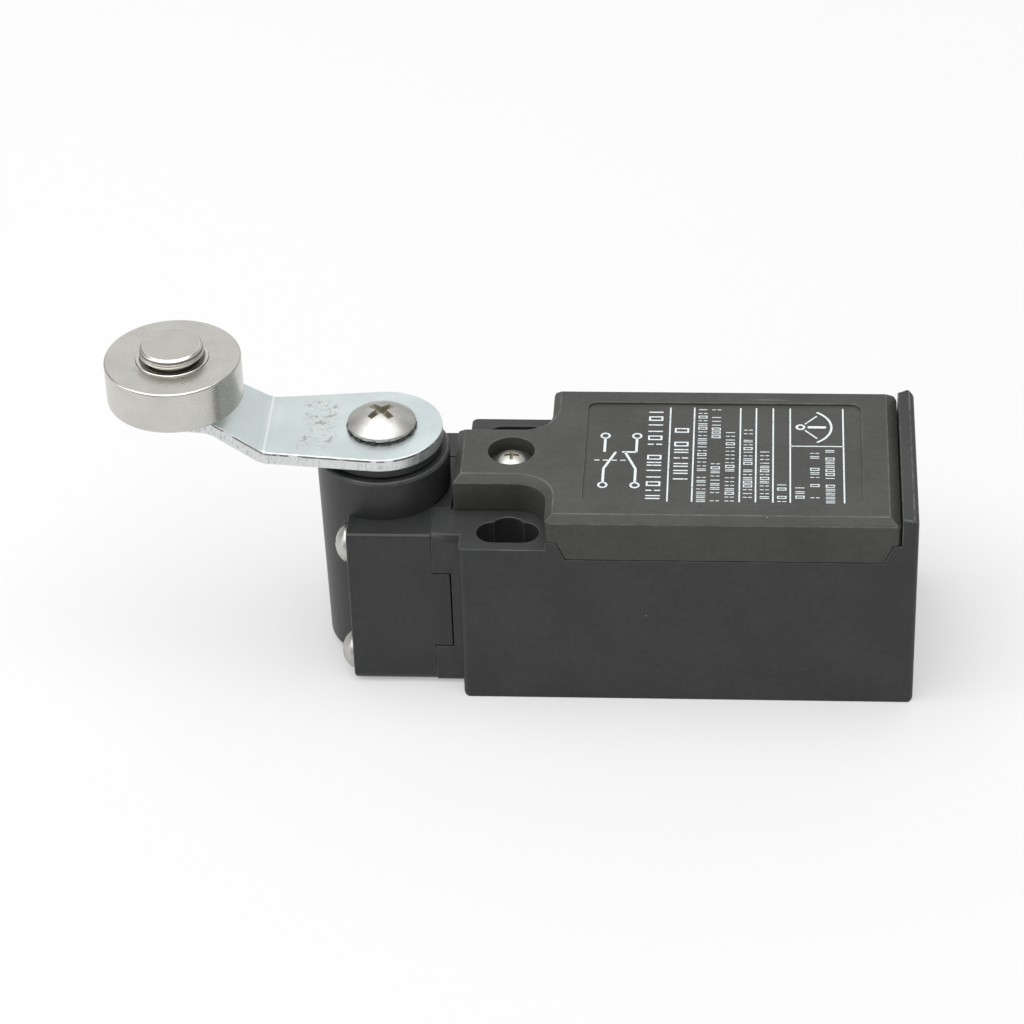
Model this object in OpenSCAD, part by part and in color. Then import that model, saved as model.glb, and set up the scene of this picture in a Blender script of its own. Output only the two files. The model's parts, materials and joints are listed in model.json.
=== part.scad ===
// Compact plastic limit switch with a roller lever, one module for each piece.
//
// Frame: the origin lies on the mounting face, midway between the two mounting slots.
// +Z points out through the front cover, +X towards the cable entry.
// The turning head and its lever stand at the -X end.

/* [Enclosure] */
// Width of the enclosure
body_w = 30; // [30:0.5:32]
// Length of the enclosure
body_l = 59.6; // [59.6:0.2:64]
// Height of the enclosure over its front cover
body_h = 29.7; // [29.7:0.1:30.5]
// Thickness of the floor
floor_t = 2.2; // [1.8:0.1:2.2]
// Width of the bevel round the top of the cover
bevel = 1.0; // [0.6:0.1:1.2]

/* [Mounting] */
// Distance from the mounting slots to the head end of the enclosure
slot_to_end = 6.3; // [6.2:0.1:6.6]
// Height of the mounting ears
ear_z = 24.4; // [24:0.1:24.4]
// Distance between the centres of the two slots
slot_pitch = 22; // [21.8:0.1:22.2]
// Length of each slot
slot_l = 8.2; // [8:0.1:8.4]
// Width of each slot
slot_w = 4.45; // [4.3:0.05:4.6]
// Distance between the round holes that break into the slots
hole_pitch = 20; // [19.8:0.1:20.2]
// Diameter of those round holes
hole_d = 4.6; // [4.4:0.1:4.7]

/* [Cable entry] */
// Minor diameter of the M20 x 1.5 thread
entry_d = 18.38; // [18.2:0.01:18.5]
// Height of the cable entry above the mounting face
entry_z = 14; // [13.5:0.1:14.2]

/* [Head] */
// Distance from the mounting slots to the lever's axis
shaft_reach = 17; // [17:0.1:17.4]
// Side of the square head
head_side = 24.3; // [24.2:0.1:24.3]
// Height of the head's centre above the mounting face
head_z = 12.3; // [12.3:0.1:12.4]
// Radius of the barrel that carries the lever's shaft
barrel_r = 8.85; // [8.8:0.05:9]
// Height of the top of the barrel
barrel_top = 30.3; // [30.3:0.1:30.5]
// Radius of the lever's shaft
shaft_r = 4; // [3.8:0.05:4]
// Radial play of every running fit
play = 0.05; // [0.03:0.01:0.08]

/* [Lever and roller] */
// Distance from the lever's axis to the roller's axis
lever_l = 27; // [26:0.5:29]
// Thickness of the lever's steel strip
lever_t = 1.8; // [1.6:0.1:2]
// Radius of the lever's hub end
hub_r = 8.04; // [7.9:0.02:8.2]
// Radius of the lever's roller end
tip_r = 5.2; // [5:0.1:5.6]
// Rise of the lever from its hub to the roller
lever_rise = 4.2; // [4:0.1:4.4]
// Diameter of the roller
roller_d = 18; // [17:0.5:19]
// Width of the roller
roller_w = 5.95; // [5.5:0.05:6.5]
// Radius of the roller's pin
pin_r = 3; // [2.8:0.1:3.2]

/* [Switching] */
// Travel of the plunger and of the contact carrier
plunger_travel = 2.2; // [1.8:0.1:2.2]
// Radius of the plunger
plunger_r = 2.5; // [2.3:0.1:2.5]
// Number of turns in the return spring
spring_turns = 7; // [5:1:8]

/* [Hidden] */
$fn = 96;

eps = 0.01;
over = 1;             // how far a cutter runs past the face that it opens
gap = 0.1;            // open joint line between the cover and the base
snug = 0.02;          // radial gap of a pressed or screwed joint

// enclosure
base_x0 = -slot_to_end;
base_x1 = base_x0 + body_l;
half_w = body_w / 2;
end_wall_t = 2.15;
end_wall_x = base_x1 - end_wall_t;
corner_r = 0.8;
low_edge_r = 0.7;                // rounding of the crosswise edges at the foot
rim_z = ear_z + 1.2;            // plane where the cover meets the base
skirt_z = rim_z - 2.7;          // lower edge of the cover's side skirts
skirt_t = 2.1;
lip_half_w = half_w - skirt_t - 0.05;
gasket_w = 1.2;
gasket_t = 1;
chamber_x0 = 8.2;
chamber_x1 = base_x1 - 8;
chamber_half_w = lip_half_w - gasket_w;
end_bevel = 0.6;
skirt_x0 = 6.5;
skirt_x1 = end_wall_x - 1.1;
skirt_slope = 1.15;

// collar that takes the head, with its round bore along X
collar_l = 3.8;
collar_x0 = base_x0 - collar_l;
collar_w = 24.4;
collar_z0 = 0.15;
collar_h = 24.35;
collar_r = 1.2;
spigot_r = 8;
spigot_bore_r = 6.5;
head_bore_r = spigot_r + 0.1;
head_bore_end = base_x0 + 0.4;
head_seal_r = 9.3;
head_seal_t = 0.8;
channel_r = 4.5;
channel_end = chamber_x0 - 1.2;
tab_w = 11.8;
tab_t = 2.4;
tab_l = 2.35;
tab_play = 0.15;

// front cover
cover_x0 = 5;
cover_x1 = end_wall_x - 0.12;
neck_x0 = base_x0 - 1.1;
neck_half_w = 6.2;
neck_back_half_w = 5.8;
fillet_r = 4;
end_slope_l = 1.45;
end_slope_h = 1.3;
roof_t = 2.2;
recess_x0 = 9.8;
recess_x1 = 46.15;
recess_half_w = 11.5;
recess_r = 1.3;
recess_depth = 0.3;
screw_floor_z = body_h - 2.2;
screw_well_r = 3.1;
cover_screw_r = 2.15;
cover_screw_h = 1.6;
cover_screw_l = 8;
cover_insert_r = 2.3;
cover_insert_z0 = 18.4;
cover_insert_band = 1.4;         // height of each knurled band of the insert

// head
shaft_x = -shaft_reach;
head_x0 = shaft_x - 4.2;
head_x1 = collar_x0;
head_r_low = 1.5;
head_nose_r = 1.2;                // rounding of its crosswise edge at the foot
head_r_high = 0.5;
barrel_z0 = 0.6;
barrel_chamfer = 0.6;
barrel_draft = 0.45;             // how much narrower the barrel is at its foot
cavity_r = 6.7;
cavity_z0 = 6.5;
cavity_z1 = 18.9;
bush_r = 5.5;
bush_top = 27;
seal_r = 6;
journal_r = 2.5;
journal_z0 = 3.2;
head_screw_y = 9.6;
head_screw_z = 12.5;              // height midway between the upper and lower head screws
head_screw_dz = 8.85;
head_screw_r = 2.5;
head_screw_h = 1.75;
head_screw_l = 15.8;
head_screw_pocket_r = 2.85;
head_pilot_l = 5;
m3_r = 1.5;

// shaft and cam
cam_seat_r = 3;
cam_seat_top = 16.6;
cam_flat = 4;
cam_back = 4.6;
cam_key = 0.7;             // depth of the flat that keys the cam to the shaft
cam_r = 6.2;
cam_z0 = 9.5;
cam_h = 6;
boss_r = 3.9;
boss_flat = 3.2;
disc_r = 7.9;
disc_z0 = barrel_top + 0.3;
disc_t = 1.1;
m5_r = 2.5;
lever_thread_z0 = 20.5;
clip_z = 17.6;
clip_t = 0.85;
clip_r = 5.3;
clip_groove_r = 3.5;
clip_mouth = 2.2;          // half the width of the circlip's open side

// lever and roller
lever_z0 = disc_z0 + disc_t;
hub_top = lever_z0 + lever_t;
lever_side_inset = 0.01;            // keeps the straight sides from only grazing the circles
bend_a = 15;                        // first bend, measured from the lever's axis
bend_b = 21.7;                      // second bend
tip_top = hub_top + lever_rise;
roller_x = shaft_x - lever_l;
roller_z0 = tip_top + 0.45;
roller_z1 = roller_z0 + roller_w;
roller_r = roller_d / 2;
roller_edge = 0.25;
roller_bush_r = 4.8;
roller_bush_top = roller_z1 + 0.2;
washer_r = 4.4;
washer_t = 0.35;
pin_head_z = roller_bush_top + 0.1 + washer_t;
pin_head_h = 1.35;
lock_washer_t = 0.4;
lever_screw_r = 4.5;
lever_screw_h = 2.4;
lever_screw_l = 12.5;
lock_teeth = 14;
lock_slit = 0.35;          // half the width of the slit between two teeth
pin_head_r = 4.25;
pin_groove = 0.12;
pin_tail_r = 4;
pin_tail_h = 0.9;

// plunger line
nose_x = shaft_x + cam_r + 0.3;
plunger_end = chamber_x0 + 0.7 - plunger_travel - 0.1;
flange_x = head_bore_end + 1.3;
flange_t = 1;
flange_r = 4.2;
seat_t = 0.6;
spring_wire_r = 0.35;
spring_r = 3.5;
guide_x0 = -9;
guide_l = 2.4;
guide_vent_r = 0.7;
guide_vent_at = 4.6;

// contact block
case_x0 = chamber_x0 + 0.8;
case_x1 = case_x0 + 24;
case_half_w = 11.2;
case_z0 = floor_t + 0.1;
case_top = 17;
well_x0 = case_x0 + 1.4;
well_x1 = case_x1 - 1.4;
well_half_w = 6.6;
well_z0 = 9.4;
stem_r = 2;
stem_x0 = plunger_end + 0.2;
carrier_x0 = case_x0 + 1.9;
carrier_x1 = carrier_x0 + 17.5;
carrier_half_w = 3;
carrier_z0 = well_z0 + 0.1;
carrier_h = 6;
window_l = 4;
window_h = 2.6;
nc_window_x = case_x0 + 6.2;
no_window_x = case_x0 + 11;
bridge_t = 0.8;
bridge_half_l = 6.3;
bridge_h = 2.4;
tip_disc_r = 0.95;
tip_disc_t = 0.6;
tip_y = 5.4;
nc_leg_x = case_x0 + 5;
nc_bridge_x = nc_leg_x + bridge_t + 2 * tip_disc_t + 0.15;
no_bridge_x = no_window_x + window_l - bridge_t;
no_leg_x = no_bridge_x + bridge_t + 2 * tip_disc_t + plunger_travel + 0.2;
leg_w = 2;
leg_y = 4.5;
leg_z0 = 10.5;
strip_t = 1;
strip_half_l = 3.2;
strip_y1 = 11;
terminal_y = 8.8;
clamp_lift = 0.3;
clamp_side = 4.8;
clamp_t = 0.9;
terminal_z = case_top + strip_t + clamp_lift + clamp_t;
case_screw_x = case_x0 + 12;
case_screw_y = 9.2;
case_screw_r = 2.2;
case_screw_h = 1.5;
case_screw_sunk = 3;
terminal_hole_l = 6;
terminal_screw_r = 2.3;
terminal_screw_h = 1.7;
terminal_screw_l = 7;
barrier_t = 0.6;
barrier_h = 3;
lid_t = 1.4;
lid_rib_h = 1;
lid_rib_half_w = 0.6;
lid_notch_r = 1.6;

black = [0.10, 0.10, 0.10];
charcoal = [0.16, 0.16, 0.16];
rubber = [0.05, 0.05, 0.05];
zinc = [0.78, 0.82, 0.84];
nickel = [0.74, 0.72, 0.68];
steel = [0.62, 0.62, 0.62];
brass = [0.72, 0.58, 0.30];
bronze = [0.60, 0.45, 0.28];
copper = [0.75, 0.48, 0.32];
cream = [0.86, 0.82, 0.70];

// ---- shared shapes ----

// Rectangle from [x0, y0] to [x1, y1] with true round corners.
module rounded_rect(x0, y0, x1, y1, r) {
    translate([x0 + r, y0]) square([x1 - x0 - 2 * r, y1 - y0]);
    translate([x0, y0 + r]) square([x1 - x0, y1 - y0 - 2 * r]);
    for (x = [x0 + r, x1 - r], y = [y0 + r, y1 - r]) translate([x, y]) circle(r);
}

// Box from one corner to the opposite one.
module block(low, high) {
    translate(low) cube(high - low);
}

// Rod along X.
module rod_x(x0, x1, r, y = 0, z = head_z) {
    translate([x0, y, z]) rotate([0, 90, 0]) cylinder(r = r, h = x1 - x0);
}

// Rod or disc along Z.
module rod_z(z0, z1, r, x = 0, y = 0) {
    translate([x, y, z0]) cylinder(r = r, h = z1 - z0);
}

// Turns an outline in Y and Z into a prism from x0 to x1.
module prism_x(x0, x1) {
    translate([x0, 0, 0]) rotate([90, 0, 90]) linear_extrude(x1 - x0) children();
}

// Turns an outline in X and Z into a prism from y0 to y1.
module prism_y(y0, y1) {
    translate([0, y1, 0]) rotate([90, 0, 0]) linear_extrude(y1 - y0) children();
}

// Cutter for the bevel along a top edge from a to b, with the solid on its left.
module edge_bevel(a, b, s, z, run_a = 0, run_b = 0) {
    d = b - a;
    translate([a[0], a[1], z]) rotate([0, 0, atan2(d[1], d[0])]) translate([-run_a, 0, 0])
        rotate([90, 0, 90]) linear_extrude(norm(d) + run_a + run_b)
            polygon([[-over, -s], [0, -s], [s, 0], [s, over], [-over, over]]);
}

// Pan-head screw with a cross recess: the head stands on z = 0, the shank points down.
module pan_screw(head_r, head_h, shank_r, shank_l) {
    rim_h = head_h * 0.2;
    dome_h = head_h - rim_h;
    dome_r = (head_r * head_r + dome_h * dome_h) / (2 * dome_h);
    recess_w = head_r * 0.26;
    difference() {
        intersection() {
            cylinder(r = head_r, h = head_h + over);
            translate([0, 0, head_h - dome_r]) sphere(dome_r);
        }
        for (a = [45, 135]) rotate([0, 0, a])
            translate([-head_r * 0.5, -recess_w / 2, head_h * 0.45]) cube([head_r, recess_w, head_h]);
    }
    translate([0, 0, -shank_l]) cylinder(r = shank_r, h = shank_l + eps);
}

// Points round the wire at step i of a helix along X.
function coil_ring(x0, l, r, wire, turns, steps, sides, i, y, z) = [
    for (j = [0:sides - 1])
        let (
            a = 360 * turns * i / steps,
            b = 360 * j / sides,
            rr = r + wire * cos(b)
        )
        [x0 + wire + (l - 2 * wire) * i / steps + wire * sin(b), y + rr * cos(a), z + rr * sin(a)]
];

// Helical spring along X from x0 to x1.
module coil_x(x0, x1, r, wire, turns, y = 0, z = head_z, steps_per_turn = 20, sides = 8) {
    steps = turns * steps_per_turn;
    rings = [for (i = [0:steps]) coil_ring(x0, x1 - x0, r, wire, turns, steps, sides, i, y, z)];
    points = [for (ring = rings) for (p = ring) p];
    skin = [
        for (i = [0:steps - 1], j = [0:sides - 1])
            let (k = (j + 1) % sides)
            [i * sides + j, (i + 1) * sides + j, (i + 1) * sides + k, i * sides + k]
    ];
    start = [for (j = [0:sides - 1]) j];
    finish = [for (j = [sides - 1:-1:0]) steps * sides + j];
    polyhedron(points, concat(skin, [start, finish]), convexity = 10);
}

// ---- enclosure ----

module mounting_slots() {
    reach = (slot_l - slot_w) / 2;
    for (side = [-1, 1]) {
        translate([0, side * slot_pitch / 2, -over]) {
            for (x = [-reach, reach]) translate([x, 0, 0]) cylinder(d = slot_w, h = body_h);
            translate([-reach, -slot_w / 2, 0]) cube([2 * reach, slot_w, body_h]);
        }
        translate([0, side * hole_pitch / 2, -over]) cylinder(d = hole_d, h = body_h);
    }
}

// Four tabs, one on each side of the square head, that set its direction by quarter turns.
module head_tabs(extra = 0) {
    x1 = collar_x0 + tab_l + extra;
    for (q = [0:3]) translate([0, 0, head_z]) rotate([90 * q, 0, 0])
        block([collar_x0 - eps, -tab_w / 2 - extra, head_side / 2 - tab_t - extra],
              [x1, tab_w / 2 + extra, head_side / 2 + (extra > 0 ? over : 0)]);
}

module collar() {
    difference() {
        prism_x(collar_x0, base_x0 + eps)
            rounded_rect(-collar_w / 2, collar_z0, collar_w / 2, collar_z0 + collar_h, collar_r);
        head_tabs(tab_play);
        rod_x(collar_x0 - over, collar_x0 + head_seal_t, head_seal_r);
    }
}

// Outline of the base's top edge, seen from the side, where the cover's skirt drops over it.
module skirt_outline(lift) {
    polygon([
        [skirt_x0 + lift / 2, rim_z + over],
        [skirt_x0 + lift / 2, rim_z + lift],
        [skirt_x0 + skirt_slope + lift / 2, skirt_z + lift],
        [skirt_x1 - skirt_slope - lift / 2, skirt_z + lift],
        [skirt_x1 - lift / 2, rim_z + lift],
        [skirt_x1 - lift / 2, rim_z + over]
    ]);
}

module base_housing() {
    color(charcoal) difference() {
        union() {
            intersection() {
                linear_extrude(body_h) rounded_rect(base_x0, -half_w, base_x1, half_w, corner_r);
                prism_y(-half_w - over, half_w + over)
                    rounded_rect(base_x0, 0, base_x1, body_h + 2 * low_edge_r, low_edge_r);
            }
            collar();
        }
        // everything above the ears and above the rim goes
        prism_y(-half_w - over, half_w + over) polygon([
            [collar_x0 - over, ear_z + 0.15], [base_x0, ear_z], [cover_x0, ear_z], [cover_x0, rim_z],
            [end_wall_x, rim_z], [end_wall_x, body_h + over], [collar_x0 - over, body_h + over]
        ]);
        for (y = [-half_w - over, lip_half_w]) prism_y(y, y + half_w + over - lip_half_w)
            skirt_outline(0);
        // seat of the gasket, then the chamber inside it
        block([chamber_x0 - gasket_w, -lip_half_w - over, rim_z - gasket_t],
              [chamber_x1 + gasket_w, lip_half_w + over, rim_z + over]);
        block([chamber_x0, -chamber_half_w, floor_t], [chamber_x1, chamber_half_w, body_h]);
        rod_x(chamber_x1 - over, base_x1 + over, entry_d / 2, 0, entry_z);
        rod_x(collar_x0 - over, head_bore_end, head_bore_r);
        rod_x(head_bore_end - over, channel_end, channel_r);
        rod_x(channel_end - over, chamber_x0 + over, plunger_r + 0.5);
        rod_z(cover_insert_z0, ear_z + over, cover_insert_r);
        for (y = [-head_screw_y, head_screw_y], dz = [-head_screw_dz, head_screw_dz])
            rod_x(collar_x0 - over, collar_x0 + head_pilot_l, m3_r + snug, y, head_screw_z + dz);
        for (side = [-1, 1]) rod_z(1, floor_t + over, m3_r + snug, case_screw_x, side * case_screw_y);
        mounting_slots();
        edge_bevel([base_x1, -half_w], [base_x1, half_w], end_bevel, body_h, over, over);
    }
}

// Half width of the neck, at the back for side 1 and at the front for side -1.
function neck_side_w(side) = side > 0 ? neck_back_half_w : neck_half_w;

module cover_outline() {
    translate([neck_x0, -neck_half_w]) square([cover_x0 - neck_x0 + 2, neck_half_w + neck_back_half_w]);
    rounded_rect(cover_x0, -half_w, cover_x1, half_w, corner_r);
    for (side = [-1, 1]) difference() {
        translate([cover_x0 - fillet_r, side > 0 ? neck_back_half_w - over : -neck_half_w - fillet_r])
            square([fillet_r + over, fillet_r + over]);
        translate([cover_x0 - fillet_r, side * (neck_side_w(side) + fillet_r)]) circle(fillet_r);
    }
}

module cover_bevels() {
    neck_end = cover_x0 - fillet_r;
    front_end = neck_half_w + fillet_r;
    back_end = neck_back_half_w + fillet_r;
    edge_bevel([cover_x0, -half_w], [cover_x1, -half_w], bevel, body_h, over, over);
    edge_bevel([cover_x1, half_w], [cover_x0, half_w], bevel, body_h, over, over);
    edge_bevel([cover_x0, half_w], [cover_x0, back_end], bevel, body_h, over, 0);
    edge_bevel([neck_end, neck_back_half_w], [neck_x0, neck_back_half_w], bevel, body_h, 0, over);
    edge_bevel([neck_x0, neck_back_half_w], [neck_x0, -neck_half_w], bevel, body_h, over, over);
    edge_bevel([neck_x0, -neck_half_w], [neck_end, -neck_half_w], bevel, body_h, over, 0);
    edge_bevel([cover_x0, -front_end], [cover_x0, -half_w], bevel, body_h, 0, over);
    for (side = [-1, 1]) translate([neck_end, side * (neck_side_w(side) + fillet_r), body_h - bevel])
        cylinder(r1 = fillet_r, r2 = fillet_r + 2 * bevel, h = 2 * bevel);
    prism_y(-half_w - over, half_w + over) polygon([
        [cover_x1 - end_slope_l, body_h], [cover_x1, body_h - end_slope_h],
        [cover_x1 + over, body_h - end_slope_h], [cover_x1 + over, body_h + over],
        [cover_x1 - end_slope_l, body_h + over]
    ]);
}

module front_cover() {
    color(black) union() {
        difference() {
            translate([0, 0, ear_z + gap / 2]) linear_extrude(body_h - ear_z - gap / 2) cover_outline();
            cover_bevels();
            block([cover_x0 - gap, -half_w - over, 0], [cover_x1 + over, half_w + over, rim_z + gap]);
            block([chamber_x0 + 1, -chamber_half_w + 0.8, 0],
                  [chamber_x1 - 1, chamber_half_w - 0.8, body_h - roof_t]);
            translate([0, 0, body_h - recess_depth]) linear_extrude(over)
                rounded_rect(recess_x0, -recess_half_w, recess_x1, recess_half_w, recess_r);
            rod_z(screw_floor_z, body_h + over, screw_well_r);
            rod_z(0, body_h, m3_r + 0.2);
        }
        for (y = [-half_w, half_w - skirt_t]) prism_y(y, y + skirt_t)
            intersection() {
                skirt_outline(gap);
                square([body_l, rim_z + gap + eps]);
            }
    }
}

module cover_gasket() {
    x0 = chamber_x0 - gasket_w + snug;
    x1 = chamber_x1 + gasket_w - snug;
    color(rubber) translate([0, 0, rim_z - gasket_t]) linear_extrude(gasket_t + gap) difference() {
        rounded_rect(x0, -lip_half_w, x1, lip_half_w, 0.3);
        rounded_rect(chamber_x0, -chamber_half_w, chamber_x1, chamber_half_w, 0.3);
    }
}

module cover_screw() {
    color(nickel) translate([0, 0, screw_floor_z])
        pan_screw(cover_screw_r, cover_screw_h, m3_r, cover_screw_l);
}

// Threaded insert with three knurled bands, sunk a little below the ear.
module cover_screw_insert() {
    low = cover_insert_z0 + 0.2;
    high = ear_z - 0.2;
    color(brass) difference() {
        union() {
            rod_z(low, high, cover_insert_r - 0.25);
            for (z = [low, low + 2, high - cover_insert_band])
                rod_z(z, z + cover_insert_band, cover_insert_r - snug);
        }
        rod_z(cover_insert_z0, ear_z + over, m3_r + snug);
    }
}

// ---- head ----

module head_outline() {
    half = head_side / 2;
    low = head_z - half;
    high = head_z + half;
    translate([-half, low + head_r_low]) square([head_side, head_side - head_r_low - head_r_high]);
    translate([-half + head_r_low, low]) square([head_side - 2 * head_r_low, head_side - head_r_high]);
    translate([-half + head_r_high, head_z]) square([head_side - 2 * head_r_high, half]);
    for (side = [-1, 1]) {
        translate([side * (half - head_r_low), low + head_r_low]) circle(head_r_low);
        translate([side * (half - head_r_high), high - head_r_high]) circle(head_r_high);
    }
}

module barrel() {
    foot_r = barrel_r - barrel_draft;
    difference() {
        translate([shaft_x, 0, 0]) {
            translate([0, 0, barrel_z0])
                cylinder(r1 = foot_r - barrel_chamfer, r2 = foot_r, h = barrel_chamfer);
            translate([0, 0, barrel_z0 + barrel_chamfer])
                cylinder(r1 = foot_r, r2 = barrel_r, h = barrel_top - 0.3 - barrel_z0 - barrel_chamfer);
            translate([0, 0, barrel_top - 0.3]) cylinder(r1 = barrel_r, r2 = barrel_r - 0.3, h = 0.3);
        }
        // the barrel stands over the collar but doesn't enter it
        block([head_x1, -barrel_r, 0], [0, barrel_r, ear_z + 0.25]);
    }
}

module head_block() {
    color(black) difference() {
        union() {
            intersection() {
                prism_x(head_x0, head_x1) head_outline();
                prism_y(-head_side, head_side) rounded_rect(
                    head_x0, head_z - head_side / 2, head_x1 + head_nose_r + over, body_h, head_nose_r
                );
            }
            barrel();
            head_tabs();
            rod_x(head_x1 - eps, head_bore_end - 0.2, spigot_r);
        }
        // room for the cam, open to the rear through the spigot
        rod_z(cavity_z0, cavity_z1, cavity_r, shaft_x);
        rod_x(shaft_x, 0, spigot_bore_r);
        rod_z(journal_z0 - 0.2, cavity_z0 + over, journal_r + play, shaft_x);
        rod_z(cavity_z1 - over, bush_top, bush_r, shaft_x);
        rod_z(bush_top - eps, barrel_top + over, seal_r, shaft_x);
        for (y = [-head_screw_y, head_screw_y], dz = [-head_screw_dz, head_screw_dz]) {
            rod_x(shaft_x - barrel_r - over, head_x0, head_screw_pocket_r, y, head_screw_z + dz);
            rod_x(head_x0 - over, head_x1 + over, m3_r + 0.1, y, head_screw_z + dz);
        }
    }
}

module head_gasket() {
    color(rubber) difference() {
        rod_x(collar_x0, collar_x0 + head_seal_t, head_seal_r - 0.05);
        rod_x(collar_x0 - over, collar_x0 + head_seal_t + over, spigot_r + 0.05);
    }
}

module head_screws() {
    color(nickel) for (y = [-head_screw_y, head_screw_y], dz = [-head_screw_dz, head_screw_dz])
        translate([head_x0, y, head_screw_z + dz]) rotate([0, -90, 0])
            pan_screw(head_screw_r, head_screw_h, m3_r, head_screw_l);
}

module shaft_bush() {
    color(bronze) difference() {
        rod_z(cavity_z1 + 0.1, bush_top, bush_r - snug, shaft_x);
        rod_z(0, barrel_top, shaft_r + play, shaft_x);
    }
}

// Lip seal: a ring with a thin tongue that leans on the shaft.
module shaft_seal() {
    inner = shaft_r + play;
    outer = seal_r - snug;
    z = bush_top + 0.2;
    color(rubber) translate([shaft_x, 0, 0]) rotate_extrude() polygon([
        [inner + 0.6, z], [outer, z], [outer, z + 2.3], [inner, z + 2.3], [inner, z + 1.8],
        [inner + 0.9, z + 1.5], [inner + 0.6, z + 1]
    ]);
}

module plunger_guide() {
    color(brass) difference() {
        rod_x(guide_x0, guide_x0 + guide_l, spigot_bore_r - snug);
        rod_x(guide_x0 - over, guide_x0 + guide_l + over, plunger_r + play);
        for (a = [0:90:270]) translate([0, 0, head_z]) rotate([a, 0, 0])
            rod_x(guide_x0 - over, guide_x0 + guide_l + over, guide_vent_r, guide_vent_at, 0);
    }
}

module spring_seat() {
    color(steel) difference() {
        rod_x(channel_end - seat_t, channel_end, channel_r - 0.05);
        rod_x(0, channel_end + over, plunger_r + 0.1);
    }
}

// ---- contact block ----

module contact_case() {
    color(cream) difference() {
        union() {
            block([case_x0, -case_half_w, case_z0], [case_x1, case_half_w, case_top]);
            // barriers between the terminals
            for (side = [-1, 1], x = [case_screw_x - 2.9, case_screw_x + 2.9])
                block([x - barrier_t / 2, side > 0 ? well_half_w : -case_half_w, case_top - eps],
                      [x + barrier_t / 2, side > 0 ? case_half_w : -well_half_w, case_top + barrier_h]);
        }
        block([well_x0, -well_half_w, well_z0], [well_x1, well_half_w, case_top + barrier_h + over]);
        rod_x(case_x0 - over, well_x0 + over, stem_r + play);
        for (side = [-1, 1]) {
            y = side * case_screw_y;
            rod_z(0, case_top + over, m3_r + 0.1, case_screw_x, y);
            rod_z(case_top - case_screw_sunk, case_top + over, case_screw_r + 0.1, case_screw_x, y);
        }
        at_terminals() rod_z(case_top - terminal_hole_l, case_top + over, m3_r + 0.1);
    }
}

module contact_lid() {
    half = leg_y - 0.2;
    x0 = well_x0 + 0.1;
    x1 = well_x1 - 0.1;
    lid_top = case_top + lid_t;
    color(charcoal) difference() {
        union() {
            block([x0, -half, case_top - 1], [x1, half, lid_top]);
            block([x0, -lid_rib_half_w, lid_top - eps], [x1, lid_rib_half_w, lid_top + lid_rib_h]);
        }
        // finger notches at both ends
        for (x = [well_x0, well_x1]) rod_z(case_top, lid_top + lid_rib_h + over, lid_notch_r, x);
    }
}

// One fixed contact: a leg in the well, its silver tip, and the strip under the terminal screw.
module terminal(leg_x, facing, side) {
    centre_x = leg_x + bridge_t / 2;
    tip_x0 = facing > 0 ? leg_x + bridge_t - eps : leg_x - tip_disc_t;
    difference() {
        union() {
            block([leg_x, side > 0 ? leg_y : -leg_y - leg_w, leg_z0],
                  [leg_x + bridge_t, side > 0 ? leg_y + leg_w : -leg_y, case_top + strip_t]);
            block([centre_x - strip_half_l, side > 0 ? leg_y : -strip_y1, case_top],
                  [centre_x + strip_half_l, side > 0 ? strip_y1 : -leg_y, case_top + strip_t]);
            rod_x(tip_x0, tip_x0 + tip_disc_t + eps, tip_disc_r, side * tip_y);
        }
        rod_z(case_top - over, case_top + 3, m3_r + snug, centre_x, side * terminal_y);
    }
}

module nc_terminal_front() {
    color(brass) terminal(nc_leg_x, 1, -1);
}

module nc_terminal_back() {
    color(brass) terminal(nc_leg_x, 1, 1);
}

module no_terminal_front() {
    color(brass) terminal(no_leg_x, -1, -1);
}

module no_terminal_back() {
    color(brass) terminal(no_leg_x, -1, 1);
}

// Places a copy at each of the four terminals.
module at_terminals() {
    for (x = [nc_leg_x, no_leg_x], side = [-1, 1])
        translate([x + bridge_t / 2, side * terminal_y, 0]) children();
}

module terminal_clamps() {
    z0 = case_top + strip_t + clamp_lift;
    half = clamp_side / 2;
    color(steel) at_terminals() difference() {
        block([-half, -half + 0.3, z0], [half, half - 0.3, z0 + clamp_t]);
        rod_z(z0 - over, z0 + clamp_t + over, m3_r + 0.1);
    }
}

module terminal_screws() {
    color(nickel) at_terminals() translate([0, 0, terminal_z])
        pan_screw(terminal_screw_r, terminal_screw_h, m3_r, terminal_screw_l);
}

module case_screws() {
    z = case_top - case_screw_sunk;
    color(nickel) for (side = [-1, 1]) translate([case_screw_x, side * case_screw_y, z])
        pan_screw(case_screw_r, case_screw_h, m3_r, z - 1.2);
}

// ---- lever train ----

// Round boss with two flats that keys the disc and the lever to the shaft.
module keyed_boss(z0, z1, extra = 0) {
    reach = boss_r + over;
    flat = boss_flat + extra;
    intersection() {
        rod_z(z0, z1, boss_r + extra, shaft_x);
        block([shaft_x - reach, -flat, z0 - over], [shaft_x + reach, flat, z1 + over]);
    }
}

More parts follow.
